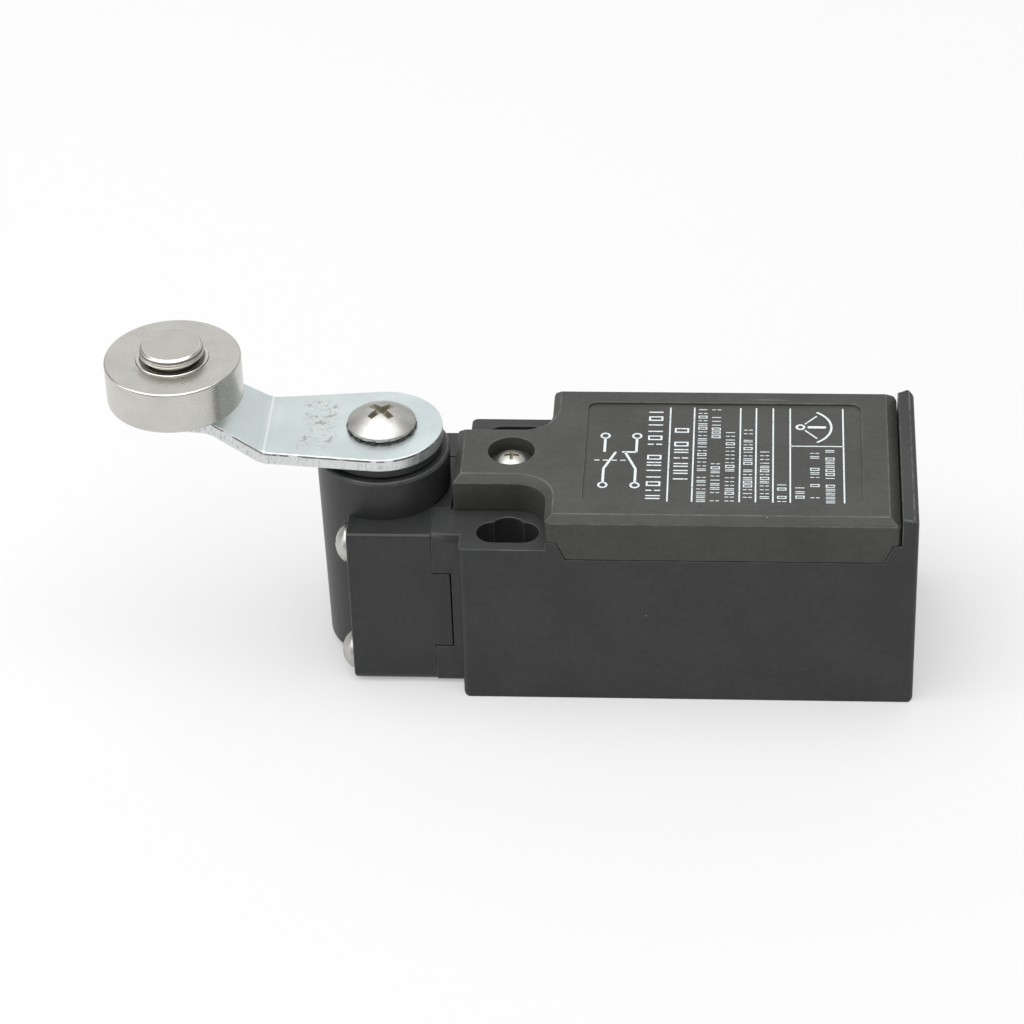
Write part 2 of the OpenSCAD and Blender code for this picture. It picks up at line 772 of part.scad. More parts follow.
module lever_shaft() {
    color(steel) difference() {
        union() {
            rod_z(journal_z0, cavity_z0 + 0.5, journal_r, shaft_x);
            rod_z(cavity_z0 + 0.5 - eps, cam_seat_top + eps, cam_seat_r, shaft_x);
            rod_z(cam_seat_top, disc_z0, shaft_r, shaft_x);
            keyed_boss(disc_z0 - eps, hub_top - 0.3);
        }
        // flat that keys the cam
        block([shaft_x - shaft_r, -shaft_r, cavity_z0 + 0.5],
              [shaft_x - cam_seat_r + cam_key, shaft_r, cam_z0 + cam_h + 0.1]);
        difference() {
            rod_z(clip_z, clip_z + clip_t + 0.1, shaft_r + over, shaft_x);
            rod_z(clip_z - over, clip_z + clip_t + over, clip_groove_r, shaft_x);
        }
        rod_z(lever_thread_z0, hub_top + over, m5_r + snug, shaft_x);
    }
}

module shaft_circlip() {
    color(steel) difference() {
        rod_z(clip_z + 0.05, clip_z + clip_t, clip_r, shaft_x);
        rod_z(clip_z - over, clip_z + 2, clip_groove_r + snug, shaft_x);
        block([shaft_x - clip_r - 1, -clip_mouth, clip_z - over], [shaft_x, clip_mouth, clip_z + 2]);
    }
}

// Two-lobed cam: at rest its flat faces the plunger, and either corner pushes the plunger back.
module cam() {
    color(steel) difference() {
        intersection() {
            rod_z(cam_z0, cam_z0 + cam_h, cam_r, shaft_x);
            block([shaft_x - cam_back, -cam_r, cam_z0 - over],
                  [shaft_x + cam_flat, cam_r, cam_z0 + cam_h + over]);
        }
        difference() {
            rod_z(cam_z0 - over, cam_z0 + cam_h + over, cam_seat_r + snug, shaft_x);
            block([shaft_x - cam_back, -cam_back, cam_z0 - 2 * over],
                  [shaft_x - cam_seat_r + cam_key - snug, cam_back, cam_z0 + cam_h + 2 * over]);
        }
    }
}

module drive_disc() {
    color(black) difference() {
        rod_z(disc_z0, lever_z0 - 0.02, disc_r, shaft_x);
        keyed_boss(disc_z0 - over, lever_z0 + over, snug);
    }
}

// Plan of the lever: two circles joined by lines just inside their common tangents.
module lever_plan() {
    lean = asin((hub_r - tip_r) / lever_l);
    c = cos(lean);
    s = sin(lean);
    a = hub_r - lever_side_inset;
    b = tip_r - lever_side_inset;
    translate([shaft_x, 0]) circle(hub_r);
    translate([roller_x, 0]) circle(tip_r);
    polygon([
        [shaft_x - a * s, a * c], [roller_x - b * s, b * c],
        [roller_x - b * s, -b * c], [shaft_x - a * s, -a * c]
    ]);
}

// Side view of the bent strip.
module lever_profile() {
    rise_angle = atan2(lever_rise, bend_b - bend_a);
    shift = lever_t * tan(rise_angle / 2);
    polygon([
        [shaft_x + hub_r + over, lever_z0],
        [shaft_x - bend_a - shift, lever_z0],
        [shaft_x - bend_b - shift, lever_z0 + lever_rise],
        [roller_x - tip_r - over, lever_z0 + lever_rise],
        [roller_x - tip_r - over, tip_top],
        [shaft_x - bend_b, tip_top],
        [shaft_x - bend_a, hub_top],
        [shaft_x + hub_r + over, hub_top]
    ]);
}

module lever_arm() {
    color(zinc) difference() {
        intersection() {
            prism_y(-hub_r - over, hub_r + over) lever_profile();
            translate([0, 0, lever_z0 - over]) linear_extrude(lever_t + lever_rise + 2 * over) lever_plan();
        }
        keyed_boss(lever_z0 - over, hub_top + over, snug);
        rod_z(lever_z0, tip_top + over, pin_r + snug, roller_x);
    }
}

// Lock washer with teeth round its rim.
module lever_lock_washer() {
    color(steel) difference() {
        rod_z(hub_top, hub_top + lock_washer_t, lever_screw_r + 0.15, shaft_x);
        rod_z(hub_top - over, hub_top + over, m5_r + 0.1, shaft_x);
        for (i = [0:lock_teeth - 1]) translate([shaft_x, 0, 0]) rotate([0, 0, 360 * i / lock_teeth])
            block([lever_screw_r - 0.5, -lock_slit, hub_top - over],
                  [lever_screw_r + over, lock_slit, hub_top + over]);
    }
}

module lever_screw() {
    color(nickel) translate([shaft_x, 0, hub_top + lock_washer_t])
        pan_screw(lever_screw_r, lever_screw_h, m5_r, lever_screw_l);
}

// Riveted pin: a grooved round head over the roller and a flat one under the lever.
module roller_pin() {
    tail_z = tip_top - lever_t;
    step = pin_head_h / 4;
    r = pin_head_r;
    color(nickel) translate([roller_x, 0, 0]) rotate_extrude() polygon([
        [0, tail_z - pin_tail_h], [pin_tail_r - 0.3, tail_z - pin_tail_h],
        [pin_tail_r, tail_z - pin_tail_h + 0.3], [pin_tail_r, tail_z], [pin_r, tail_z],
        [pin_r, pin_head_z], [r, pin_head_z], [r, pin_head_z + step * 0.9],
        [r - pin_groove, pin_head_z + step], [r - 0.05, pin_head_z + step * 1.1],
        [r - 0.05, pin_head_z + step * 1.9], [r - pin_groove - 0.05, pin_head_z + step * 2],
        [r - 0.1, pin_head_z + step * 2.1], [r - 0.15, pin_head_z + pin_head_h - 0.3],
        [r - 0.45, pin_head_z + pin_head_h], [0, pin_head_z + pin_head_h]
    ]);
}

module roller_washers() {
    color(steel) for (z = [tip_top, roller_bush_top + 0.1]) difference() {
        rod_z(z, z + washer_t, washer_r, roller_x);
        rod_z(z - over, z + over, pin_r + snug, roller_x);
    }
}

module roller() {
    low = roller_z0;
    high = roller_z1;
    bore = roller_bush_r + snug;
    color(nickel) translate([roller_x, 0, 0]) rotate_extrude() polygon([
        [bore, low], [roller_r - roller_edge, low], [roller_r, low + roller_edge],
        [roller_r, high - roller_edge], [roller_r - roller_edge, high], [bore, high]
    ]);
}

module roller_bush() {
    color(bronze) difference() {
        rod_z(roller_z0, roller_bush_top, roller_bush_r, roller_x);
        rod_z(roller_z0 - over, roller_bush_top + over, pin_r + play, roller_x);
    }
}

// ---- plunger and contacts ----

module head_plunger() {
    color(steel) {
        translate([nose_x + plunger_r, 0, head_z]) sphere(plunger_r);
        rod_x(nose_x + plunger_r, plunger_end, plunger_r);
        rod_x(flange_x, flange_x + flange_t, flange_r);
    }
}

module return_spring() {
    color(steel)
        coil_x(flange_x + flange_t, channel_end - seat_t, spring_r, spring_wire_r, spring_turns);
}

module contact_carrier() {
    low = head_z - window_h / 2;
    color(cream) difference() {
        union() {
            block([carrier_x0, -carrier_half_w, carrier_z0],
                  [carrier_x1, carrier_half_w, carrier_z0 + carrier_h]);
            rod_x(stem_x0, carrier_x0 + eps, stem_r);
        }
        for (x = [nc_window_x, no_window_x])
            block([x, -carrier_half_w - over, low], [x + window_l, carrier_half_w + over, low + window_h]);
    }
}

// Moving contact: a strip across the carrier with a silver tip near each end.
module bridge(x, facing) {
    tip_x0 = facing > 0 ? x + bridge_t - eps : x - tip_disc_t;
    block([x, -bridge_half_l, head_z - bridge_h / 2], [x + bridge_t, bridge_half_l, head_z + bridge_h / 2]);
    for (side = [-1, 1]) rod_x(tip_x0, tip_x0 + tip_disc_t + eps, tip_disc_r, side * tip_y);
}

module nc_bridge() {
    color(copper) bridge(nc_bridge_x, -1);
}

module no_bridge() {
    color(copper) bridge(no_bridge_x, 1);
}

module contact_springs() {
    wire = 0.18;
    r = 0.85;
    color(steel) {
        coil_x(nc_bridge_x + bridge_t, nc_window_x + window_l, r, wire, 4, 0, head_z, 12, 6);
        coil_x(no_window_x, no_bridge_x, r, wire, 5, 0, head_z, 12, 6);
    }
}

base_housing();
front_cover();
cover_gasket();
cover_screw();
cover_screw_insert();
head_block();
head_gasket();
head_screws();
shaft_bush();
shaft_seal();
plunger_guide();
spring_seat();
contact_case();
contact_lid();
nc_terminal_front();
nc_terminal_back();
no_terminal_front();
no_terminal_back();
terminal_clamps();
terminal_screws();
case_screws();
lever_shaft();
shaft_circlip();
cam();
drive_disc();
lever_arm();
lever_lock_washer();
lever_screw();
roller_pin();
roller_washers();
roller();
roller_bush();
head_plunger();
return_spring();
contact_carrier();
nc_bridge();
no_bridge();
contact_springs();
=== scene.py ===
"""Looks of a compact plastic limit switch with a roller lever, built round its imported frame.

Lengths are in metres, unless a name ends in _mm. Angles in names that end in _deg are in degrees.
"""

import json
import logging
import math
from dataclasses import dataclass, field
from enum import Enum
from typing import Any, Iterable, Mapping, Optional, Sequence

import bmesh
import bpy
from mathutils import Matrix, Vector


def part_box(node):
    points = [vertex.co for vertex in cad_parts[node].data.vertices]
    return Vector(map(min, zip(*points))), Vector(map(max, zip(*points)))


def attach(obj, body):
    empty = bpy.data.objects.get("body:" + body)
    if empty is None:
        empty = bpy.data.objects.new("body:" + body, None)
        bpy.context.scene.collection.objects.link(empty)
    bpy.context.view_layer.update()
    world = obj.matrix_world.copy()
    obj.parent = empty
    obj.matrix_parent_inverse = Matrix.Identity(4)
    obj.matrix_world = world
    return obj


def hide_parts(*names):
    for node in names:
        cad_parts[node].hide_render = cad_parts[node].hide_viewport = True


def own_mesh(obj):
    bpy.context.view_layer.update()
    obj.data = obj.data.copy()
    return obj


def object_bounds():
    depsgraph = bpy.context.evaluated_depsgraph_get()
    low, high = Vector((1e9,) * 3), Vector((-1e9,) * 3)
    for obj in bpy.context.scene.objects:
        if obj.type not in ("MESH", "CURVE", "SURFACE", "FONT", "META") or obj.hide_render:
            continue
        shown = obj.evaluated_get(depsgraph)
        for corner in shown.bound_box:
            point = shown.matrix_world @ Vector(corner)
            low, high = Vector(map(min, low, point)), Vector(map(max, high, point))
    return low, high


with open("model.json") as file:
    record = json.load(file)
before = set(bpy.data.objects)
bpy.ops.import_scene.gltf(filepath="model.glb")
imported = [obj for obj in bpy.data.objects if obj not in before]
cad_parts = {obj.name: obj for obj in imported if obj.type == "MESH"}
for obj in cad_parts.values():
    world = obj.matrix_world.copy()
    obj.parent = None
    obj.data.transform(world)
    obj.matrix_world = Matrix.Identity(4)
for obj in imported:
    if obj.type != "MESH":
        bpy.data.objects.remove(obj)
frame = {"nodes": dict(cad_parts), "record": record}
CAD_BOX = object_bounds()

LOG = logging.getLogger("limit_switch")
MM = 0.001
MERGE = 2e-6
EDGE_MARK = "edge"
RECESS_MARK = "recess"
DEPTH_MARK = "depth"

Colour = tuple[float, float, float]
Point2 = tuple[float, float]


class Body(str, Enum):
    """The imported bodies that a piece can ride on."""

    HOUSING = "housing"
    LEVER = "lever"
    ROLLER = "roller"
    PLUNGER = "plunger"
    CARRIER = "contact_carrier"


class Slot(str, Enum):
    """The record's material slots."""

    HOUSING = "housing_plastic"
    COVER = "cover_plastic"
    HEAD = "head_plastic"
    DISC = "disc_plastic"
    CASE = "case_plastic"
    LID = "lid_plastic"
    RUBBER = "rubber"
    ZINC = "zinc_plate"
    SCREW = "nickel_screw"
    ROLLER = "roller_nickel"
    PIN = "pin_nickel"
    DARK_STEEL = "dark_steel"
    STEEL = "plain_steel"
    SPRING = "spring_steel"
    BRASS = "brass"
    BRONZE = "bronze"
    COPPER = "contact_copper"


# ---- node trees ----


class Signal:
    """A node's output that takes part in Python arithmetic."""

    def __init__(self, tree: "Tree", socket: bpy.types.NodeSocket) -> None:
        """Wraps one output socket of a tree."""
        self.tree = tree
        self.socket = socket

    def _math(self, operation: str, first: Any, second: Any) -> "Signal":
        """Adds one Math node.

        Args:
            operation: the node's operation.
            first: value or signal at its first socket.
            second: value or signal at its second socket.

        Returns:
            The node's output.
        """
        made = self.tree.node("ShaderNodeMath", {"operation": operation}, {0: first, 1: second})
        return Signal(self.tree, made.outputs[0])

    def __add__(self, other: Any) -> "Signal":
        """Sum."""
        return self._math("ADD", self, other)

    __radd__ = __add__

    def __sub__(self, other: Any) -> "Signal":
        """Difference."""
        return self._math("SUBTRACT", self, other)

    def __rsub__(self, other: Any) -> "Signal":
        """Difference from a number."""
        return self._math("SUBTRACT", other, self)

    def __mul__(self, other: Any) -> "Signal":
        """Product."""
        return self._math("MULTIPLY", self, other)

    __rmul__ = __mul__

    def __truediv__(self, other: Any) -> "Signal":
        """Quotient."""
        return self._math("DIVIDE", self, other)

    def __pow__(self, other: Any) -> "Signal":
        """Power."""
        return self._math("POWER", self, other)

    def __abs__(self) -> "Signal":
        """Absolute value."""
        return self._math("ABSOLUTE", self, 0.0)

    def cosine(self) -> "Signal":
        """Cosine of an angle in radians."""
        return self._math("COSINE", self, 0.0)

    def sine(self) -> "Signal":
        """Sine of an angle in radians."""
        return self._math("SINE", self, 0.0)

    def most(self, other: Any) -> "Signal":
        """The larger of two values."""
        return self._math("MAXIMUM", self, other)

    def ramp(self, low: float, high: float) -> "Signal":
        """Smooth step from 0 at low to 1 at high.

        Args:
            low: value that gives 0.
            high: value that gives 1; it may be below low, and the step then falls.

        Returns:
            The step, between 0 and 1.
        """
        made = self.tree.node(
            "ShaderNodeMapRange",
            {"interpolation_type": "SMOOTHSTEP"},
            {"Value": self, "From Min": low, "From Max": high, "To Min": 0.0, "To Max": 1.0},
        )
        return Signal(self.tree, made.outputs[0])


class Tree:
    """A node tree that grows one node at a time."""

    def __init__(self, nodes: bpy.types.NodeTree) -> None:
        """Takes an empty node tree."""
        self.nodes = nodes

    def node(
        self,
        kind: str,
        settings: Optional[Mapping[str, Any]] = None,
        sockets: Optional[Mapping[Any, Any]] = None,
    ) -> bpy.types.Node:
        """Adds a node, with its settings first and then what its sockets hold.

        Args:
            kind: the node's type.
            settings: the node's own properties.
            sockets: values or signals, by the socket's name or number.

        Returns:
            The new node.
        """
        made = self.nodes.nodes.new(kind)
        for key, value in (settings or {}).items():
            setattr(made, key, value)
        for key, value in (sockets or {}).items():
            if isinstance(value, Signal):
                self.nodes.links.new(value.socket, made.inputs[key])
            else:
                made.inputs[key].default_value = value
        return made

    def out(self, made: bpy.types.Node, key: Any = 0) -> Signal:
        """One output of a node, by name or number."""
        return Signal(self, made.outputs[key])

    def vector(self, operation: str, first: Any, second: Any) -> Signal:
        """One Vector Math node.

        Args:
            operation: the node's operation.
            first: vector or signal at its first socket.
            second: vector or signal at its second socket.

        Returns:
            The node's vector.
        """
        made = self.node("ShaderNodeVectorMath", {"operation": operation}, {0: first, 1: second})
        return self.out(made)

    def join_xyz(self, x: Any, y: Any, z: Any) -> Signal:
        """A vector of three values."""
        return self.out(self.node("ShaderNodeCombineXYZ", None, {0: x, 1: y, 2: z}))

    def split_xyz(self, vector: Signal) -> tuple[Signal, Signal, Signal]:
        """The three values of a vector."""
        made = self.node("ShaderNodeSeparateXYZ", None, {0: vector})
        return self.out(made, 0), self.out(made, 1), self.out(made, 2)


class Paint(Tree):
    """One material's tree, whose patterns are measured in millimetres on the piece itself."""

    def __init__(self, name: str) -> None:
        """Makes an empty material of this name."""
        self.material = bpy.data.materials.new(name)
        self.material.use_nodes = True
        self.material.node_tree.nodes.clear()
        super().__init__(self.material.node_tree)
        coordinates = self.out(self.node("ShaderNodeTexCoord"), "Object")
        self.place = self.vector("MULTIPLY", coordinates, (1 / MM,) * 3)

    def noise(
        self, size_mm: float, detail: float = 2.0, stretch: Colour = (1, 1, 1), where: Any = None
    ) -> Signal:
        """Cloudy noise.

        Args:
            size_mm: size of its largest features.
            detail: number of finer layers.
            stretch: factors by which the pattern is squeezed along X, Y and Z.
            where: coordinates in millimetres, if not the piece's own.

        Returns:
            A value around 0.5, between 0 and 1.
        """
        scale = tuple(factor / size_mm for factor in stretch)
        spot = self.vector("MULTIPLY", where or self.place, scale)
        sockets = {"Vector": spot, "Scale": 1.0, "Detail": detail}
        return self.out(self.node("ShaderNodeTexNoise", None, sockets))

    def specks(self, size_mm: float, share: float, radius: float) -> Signal:
        """Scattered round specks.

        Args:
            size_mm: mean distance between the places where a speck may be.
            share: share of those places that have one.
            radius: radius of a speck as a share of size_mm.

        Returns:
            1 inside a speck and 0 elsewhere.
        """
        spot = self.vector("MULTIPLY", self.place, (1 / size_mm,) * 3)
        cells = self.node("ShaderNodeTexVoronoi", None, {"Vector": spot, "Scale": 1.0})
        chance = self.split_xyz(self.out(cells, "Color"))[0]
        inside = self.out(cells, "Distance").ramp(radius, radius * 0.4)
        return inside * chance.ramp(1 - share, 1 - share * 0.9)

    def mix(self, factor: Any, first: Any, second: Any) -> Signal:
        """Mixes two colours.

        Args:
            factor: share of the second colour.
            first: colour or signal at factor 0.
            second: colour or signal at factor 1.

        Returns:
            The mixed colour.
        """
        sockets = {0: factor, 6: _colour(first), 7: _colour(second)}
        return self.out(self.node("ShaderNodeMix", {"data_type": "RGBA"}, sockets), 2)

    def mark(self, name: str) -> Signal:
        """A number that the mesh holds under this name."""
        return self.out(self.node("ShaderNodeAttribute", {"attribute_name": name}), "Fac")

    def finish(
        self,
        colour: Any,
        roughness: Any,
        metallic: float = 0.0,
        height_mm: Optional[Signal] = None,
        specular: float = 0.5,
        glow: float = 0.0,
    ) -> bpy.types.Material:
        """Ends the tree in a Principled shader.

        Args:
            colour: base colour.
            roughness: roughness.
            metallic: 1 for a bare metal, 0 for anything else.
            height_mm: height of the surface's relief.
            specular: the shader's specular level.
            glow: strength of a white light of its own.

        Returns:
            The finished material.
        """
        sockets: dict[Any, Any] = {
            "Base Color": _colour(colour),
            "Roughness": roughness,
            "Metallic": metallic,
            "Specular IOR Level": specular,
            "Emission Color": (1.0, 1.0, 1.0, 1.0),
            "Emission Strength": glow,
        }
        if height_mm is not None:
            values = {"Strength": 1.0, "Distance": MM, "Height": height_mm}
            relief = self.node("ShaderNodeBump", None, values)
            sockets["Normal"] = self.out(relief)
        shader = self.node("ShaderNodeBsdfPrincipled", None, sockets)
        self.node("ShaderNodeOutputMaterial", None, {"Surface": self.out(shader)})
        return self.material


def _colour(value: Any) -> Any:
    """A colour with its alpha, or the signal itself."""
    return value if isinstance(value, Signal) else (*value, 1.0)


def _shade(colour: Colour, factor: float) -> Colour:
    """A colour made lighter or darker by a factor."""
    return tuple(min(1.0, part * factor) for part in colour)


# ---- finishes ----


@dataclass(frozen=True)
class Finish:
    """A surface finish, with the record's slot that it stands for."""

    name: str
    slot: Slot
    colour: Colour

    def paint(self, paint: Paint) -> bpy.types.Material:
        """Builds the finish in an empty material.

        Args:
            paint: the tree to build in.

        Returns:
            The finished material.
        """
        raise NotImplementedError

    def material(self) -> bpy.types.Material:
        """The finish's material, made at its first use."""
        return bpy.data.materials.get(self.name) or self.paint(Paint(self.name))


@dataclass(frozen=True)
class MouldedPlastic(Finish):
    """Filled plastic from an eroded mould: fine grain, slow clouds, dust, and edges painted lighter, partly
    as rubbed wear and partly as a painted highlight.
    """

    roughness: float = 0.5
    specular: float = 0.38
    grain_mm: float = 0.22
    grain_depth_mm: float = 0.006
    edge_wear_and_highlight_strength: float = 1.0
    dust: float = 1.0
    clouds: float = 0.22
    scraped_x_mm: Optional[float] = None

    def paint(self, paint: Paint) -> bpy.types.Material:
        """Builds the plastic in an empty material."""
        slow = paint.noise(9.0, 3)
        grain = paint.noise(self.grain_mm, 2)
        tone = (slow * 0.65 + paint.noise(0.8, 2) * 0.35).ramp(0.3, 0.7)
        body = paint.mix(tone, _shade(self.colour, 1 - self.clouds), _shade(self.colour, 1 + self.clouds))
        # Edges painted lighter: partly rubbed wear, partly a painted highlight; past scraped_x_mm they are
        # lighter still.
        edge_wear_and_highlight = paint.mark(EDGE_MARK) * (paint.noise(1.8, 3).ramp(0.35, 0.7) * 0.7 + 0.3) * self.edge_wear_and_highlight_strength
        if self.scraped_x_mm is not None:
            beyond = paint.split_xyz(paint.place)[0].ramp(self.scraped_x_mm, self.scraped_x_mm + 0.4)
            edge_wear_and_highlight = edge_wear_and_highlight * (beyond * paint.noise(0.5, 3).ramp(0.4, 0.6) * 2.0 + 1.0)
        edge_worn_and_highlit = paint.mix(edge_wear_and_highlight * 0.5, body, _shade(self.colour, 3.4))
        hairs = paint.noise(1.0, 1, (0.07, 3.2, 3.2)).ramp(0.735, 0.77)
        scratch = hairs * paint.noise(5.0, 1).ramp(0.5, 0.62)
        specks = paint.specks(2.6, 0.06, 0.045).most(paint.specks(1.1, 0.012, 0.05)) * self.dust
        marked = paint.mix((specks * 0.75).most(scratch * 0.22 * self.dust), edge_worn_and_highlit, (0.36, 0.36, 0.34))
        gloss = slow * 0.12 + grain * 0.08 + (self.roughness - 0.1) - edge_wear_and_highlight * 0.08
        relief = grain * self.grain_depth_mm + specks * 0.01
        return paint.finish(marked, gloss, height_mm=relief, specular=self.specular)


@dataclass(frozen=True)
class SoftRubber(Finish):
    """Matt black rubber with a faint bloom."""

    def paint(self, paint: Paint) -> bpy.types.Material:
        """Builds the rubber in an empty material."""
        bloom = paint.noise(2.5, 4).ramp(0.4, 0.75)
        colour = paint.mix(bloom, self.colour, _shade(self.colour, 2.4))
        grain = paint.noise(0.25, 2) * 0.008
        return paint.finish(colour, bloom * 0.15 + 0.72, height_mm=grain, specular=0.35)


@dataclass(frozen=True)
class PlatedStrip(Finish):
    """Zinc-plated lever strip: bluish bright faces, sheared sides, a scuffed patch by the hub, a painted
    highlight along its first bend, and edges painted lighter, partly as rubbed wear and partly as a painted
    highlight.
    """

    hub_x_mm: float = 0.0
    scuff_from_mm: float = 5.6
    scuff_to_mm: float = 11.2
    scuff_half_mm: float = 6.2
    # crease_mm: distance from the hub to the painted highlight along the first bend.
    crease_mm: float = 15.0

    def _scuff(self, paint: Paint) -> Signal:
        """Strength of the scuffed patch.

        Args:
            paint: the tree to build in.

        Returns:
            A mask between 0 and 1.
        """
        x, y, _ = paint.split_xyz(paint.place)
        reach = (self.hub_x_mm - x) + (paint.noise(3.0, 2) - 0.5) * 3.0
        band = reach.ramp(self.scuff_from_mm, self.scuff_from_mm + 1.4)
        band = band * reach.ramp(self.scuff_to_mm, self.scuff_to_mm - 1.8)
        band = band * abs(y).ramp(self.scuff_half_mm, self.scuff_half_mm - 1.2)
        crumbs = paint.noise(0.8, 4).ramp(0.5, 0.62) * paint.noise(2.6, 2).ramp(0.36, 0.55)
        crumbs = crumbs.most(paint.noise(0.3, 2).ramp(0.63, 0.7))
        return band * crumbs

    def paint(self, paint: Paint) -> bpy.types.Material:
        """Builds the plated strip in an empty material."""
        slow = paint.noise(6.0, 3)
        spangle = paint.noise(0.5, 3)
        tone = (slow * 0.75 + spangle * 0.25).ramp(0.3, 0.7)
        plate = paint.mix(tone, self.colour, _shade(self.colour, 1.14))
        scuff = self._scuff(paint)
        scuffed = paint.mix(scuff * 0.75, plate, (0.27, 0.24, 0.21))
        depth = paint.mark(DEPTH_MARK)
        side = depth.ramp(0.02, 0.06) * depth.ramp(0.98, 0.94)
        tears = paint.noise(0.32, 3, (1, 1, 0.45))
        torn = side * depth.ramp(0.2, 0.4) * tears.ramp(0.5, 0.7)
        sheared = paint.mix(side * 0.75, scuffed, (0.70, 0.705, 0.70))
        grey = paint.mix(torn * 0.4, sheared, (0.34, 0.34, 0.34))
        score = side * abs(depth - 0.15).ramp(0.09, 0.03) * paint.noise(1.6, 4).ramp(0.42, 0.54)
        scored = paint.mix(score * 0.85, grey, (0.05, 0.045, 0.04))
        # Edges painted lighter (partly rubbed wear, partly painted highlight), and a painted highlight
        # along the first bend.
        edge_wear_and_highlight = paint.mark(EDGE_MARK) * paint.noise(1.2, 2).ramp(0.35, 0.6)
        x = paint.split_xyz(paint.place)[0]
        bend_highlight = abs(x - (self.hub_x_mm - self.crease_mm)).ramp(0.22, 0.08) * depth.ramp(0.3, 0.1)
        lines = (edge_wear_and_highlight * 0.5).most(bend_highlight * 0.55)
        bright = paint.mix(lines, scored, (0.93, 0.94, 0.94))
        gloss = slow * 0.16 + spangle * 0.1 + 0.22 + torn * 0.2 + scuff * 0.25
        height = spangle * 0.004 - torn * 0.02 - score * 0.05 - scuff * 0.008
        return paint.finish(bright, gloss, metallic=0.9, height_mm=height)


@dataclass(frozen=True)
class TurnedMetal(Finish):
    """Turned and plated metal with fine rings round its axis, stain marks and specks, darker grooves, rims
    painted lighter (partly rubbed wear, partly painted highlight), and in front of a bush a painted
    reflection of the pin head.
    """

    axis_mm: Point2 = (0.0, 0.0)
    roughness: float = 0.3
    ring_mm: float = 0.12
    ring_depth_mm: float = 0.0007
    stain: float = 0.35
    stain_and_reflection_colour: Colour = (0.22, 0.195, 0.155)
    reflection_radius_mm: Optional[float] = None

    def paint(self, paint: Paint) -> bpy.types.Material:
        """Builds the turned metal in an empty material."""
        x, y, z = paint.split_xyz(paint.place)
        radius = ((x - self.axis_mm[0]) ** 2 + (y - self.axis_mm[1]) ** 2) ** 0.5
        rings = paint.noise(self.ring_mm, 2, where=paint.join_xyz(radius, 0.0, z))
        slow = paint.noise(4.0, 3)
        pits = paint.noise(0.35, 3).ramp(0.6, 0.74)
        mottle = paint.noise(0.32, 3)
        tone = (slow * 0.5 + mottle * 0.3 + rings * 0.2).ramp(0.3, 0.7)
        metal = paint.mix(tone, _shade(self.colour, 0.9), _shade(self.colour, 1.05))
        stain_reflection_groove_mask = slow.ramp(0.5, 0.72) * pits * self.stain
        # Round a bush, a dark patch in front of it: a painted reflection of the pin head.
        if self.reflection_radius_mm is not None:
            pin_reflection_ring = radius.ramp(self.reflection_radius_mm + 1.7, self.reflection_radius_mm)
            front = (self.axis_mm[1] - y).ramp(1.5, 4.5)
            stain_reflection_groove_mask = stain_reflection_groove_mask.most(pin_reflection_ring * front * paint.noise(1.1, 3).ramp(0.3, 0.55) * 0.7)
        # The marked grooves take the darker stain colour.
        stain_reflection_groove_mask = stain_reflection_groove_mask.most(paint.mark(RECESS_MARK) * 0.85)
        with_stains_and_reflection = paint.mix(stain_reflection_groove_mask, metal, self.stain_and_reflection_colour)
        # Rounded rims painted near-white: partly rubbed wear, partly a painted highlight.
        edge_wear_and_highlight = paint.mark(EDGE_MARK)
        bright = paint.mix(edge_wear_and_highlight * 0.55, with_stains_and_reflection, (0.95, 0.94, 0.90))
        gloss = slow * 0.12 + mottle * 0.06 + (self.roughness - 0.09) + stain_reflection_groove_mask * 0.25
        height = rings * self.ring_depth_mm + mottle * 0.0015 - pits * 0.003
        return paint.finish(bright, gloss, metallic=1.0, height_mm=height)


@dataclass(frozen=True)
class PlatedScrew(Finish):
    """Satin-plated screw, with dark pits, and darker, brownish and rougher inside its driver recess."""

    roughness: float = 0.4
    pit_and_recess_colour: Colour = (0.30, 0.28, 0.20)

    def paint(self, paint: Paint) -> bpy.types.Material:
        """Builds the plated screw in an empty material."""
        slow = paint.noise(1.8, 3)
        satin = paint.noise(0.22, 2)
        metal = paint.mix(slow.ramp(0.3, 0.7), _shade(self.colour, 0.88), _shade(self.colour, 1.06))
        pits = paint.noise(0.3, 3).ramp(0.62, 0.72)
        speckled = paint.mix(pits * 0.3, metal, self.pit_and_recess_colour)
        cut = paint.mark(RECESS_MARK)
        recess_darkened = paint.mix(cut * (paint.noise(0.6, 3).ramp(0.25, 0.6) * 0.5 + 0.4), speckled, self.pit_and_recess_colour)
        gloss = slow * 0.14 + satin * 0.08 + (self.roughness - 0.1) + cut * 0.25
        return paint.finish(recess_darkened, gloss, metallic=1.0, height_mm=satin * 0.0025 - pits * 0.003)


@dataclass(frozen=True)
class PlainMetal(Finish):
    """Drawn, stamped or machined metal with faint draw lines and tarnish."""

    roughness: float = 0.35
    tarnish: Colour = (0.12, 0.09, 0.06)
    tarnish_share: float = 0.3

    def paint(self, paint: Paint) -> bpy.types.Material:
        """Builds the metal in an empty material."""
        slow = paint.noise(2.4, 3)
        lines = paint.noise(0.3, 2, (0.2, 1.0, 1.0))
        metal = paint.mix((slow * 0.5 + lines * 0.5).ramp(0.3, 0.7), _shade(self.colour, 0.86), self.colour)
        dull = slow.ramp(0.48, 0.75) * paint.noise(0.5, 3).ramp(0.4, 0.7) * self.tarnish_share
        tarnished = paint.mix(dull, metal, self.tarnish)
        gloss = lines * 0.12 + (self.roughness - 0.06) + dull * 0.3
        return paint.finish(tarnished, gloss, metallic=1.0, height_mm=lines * 0.003)


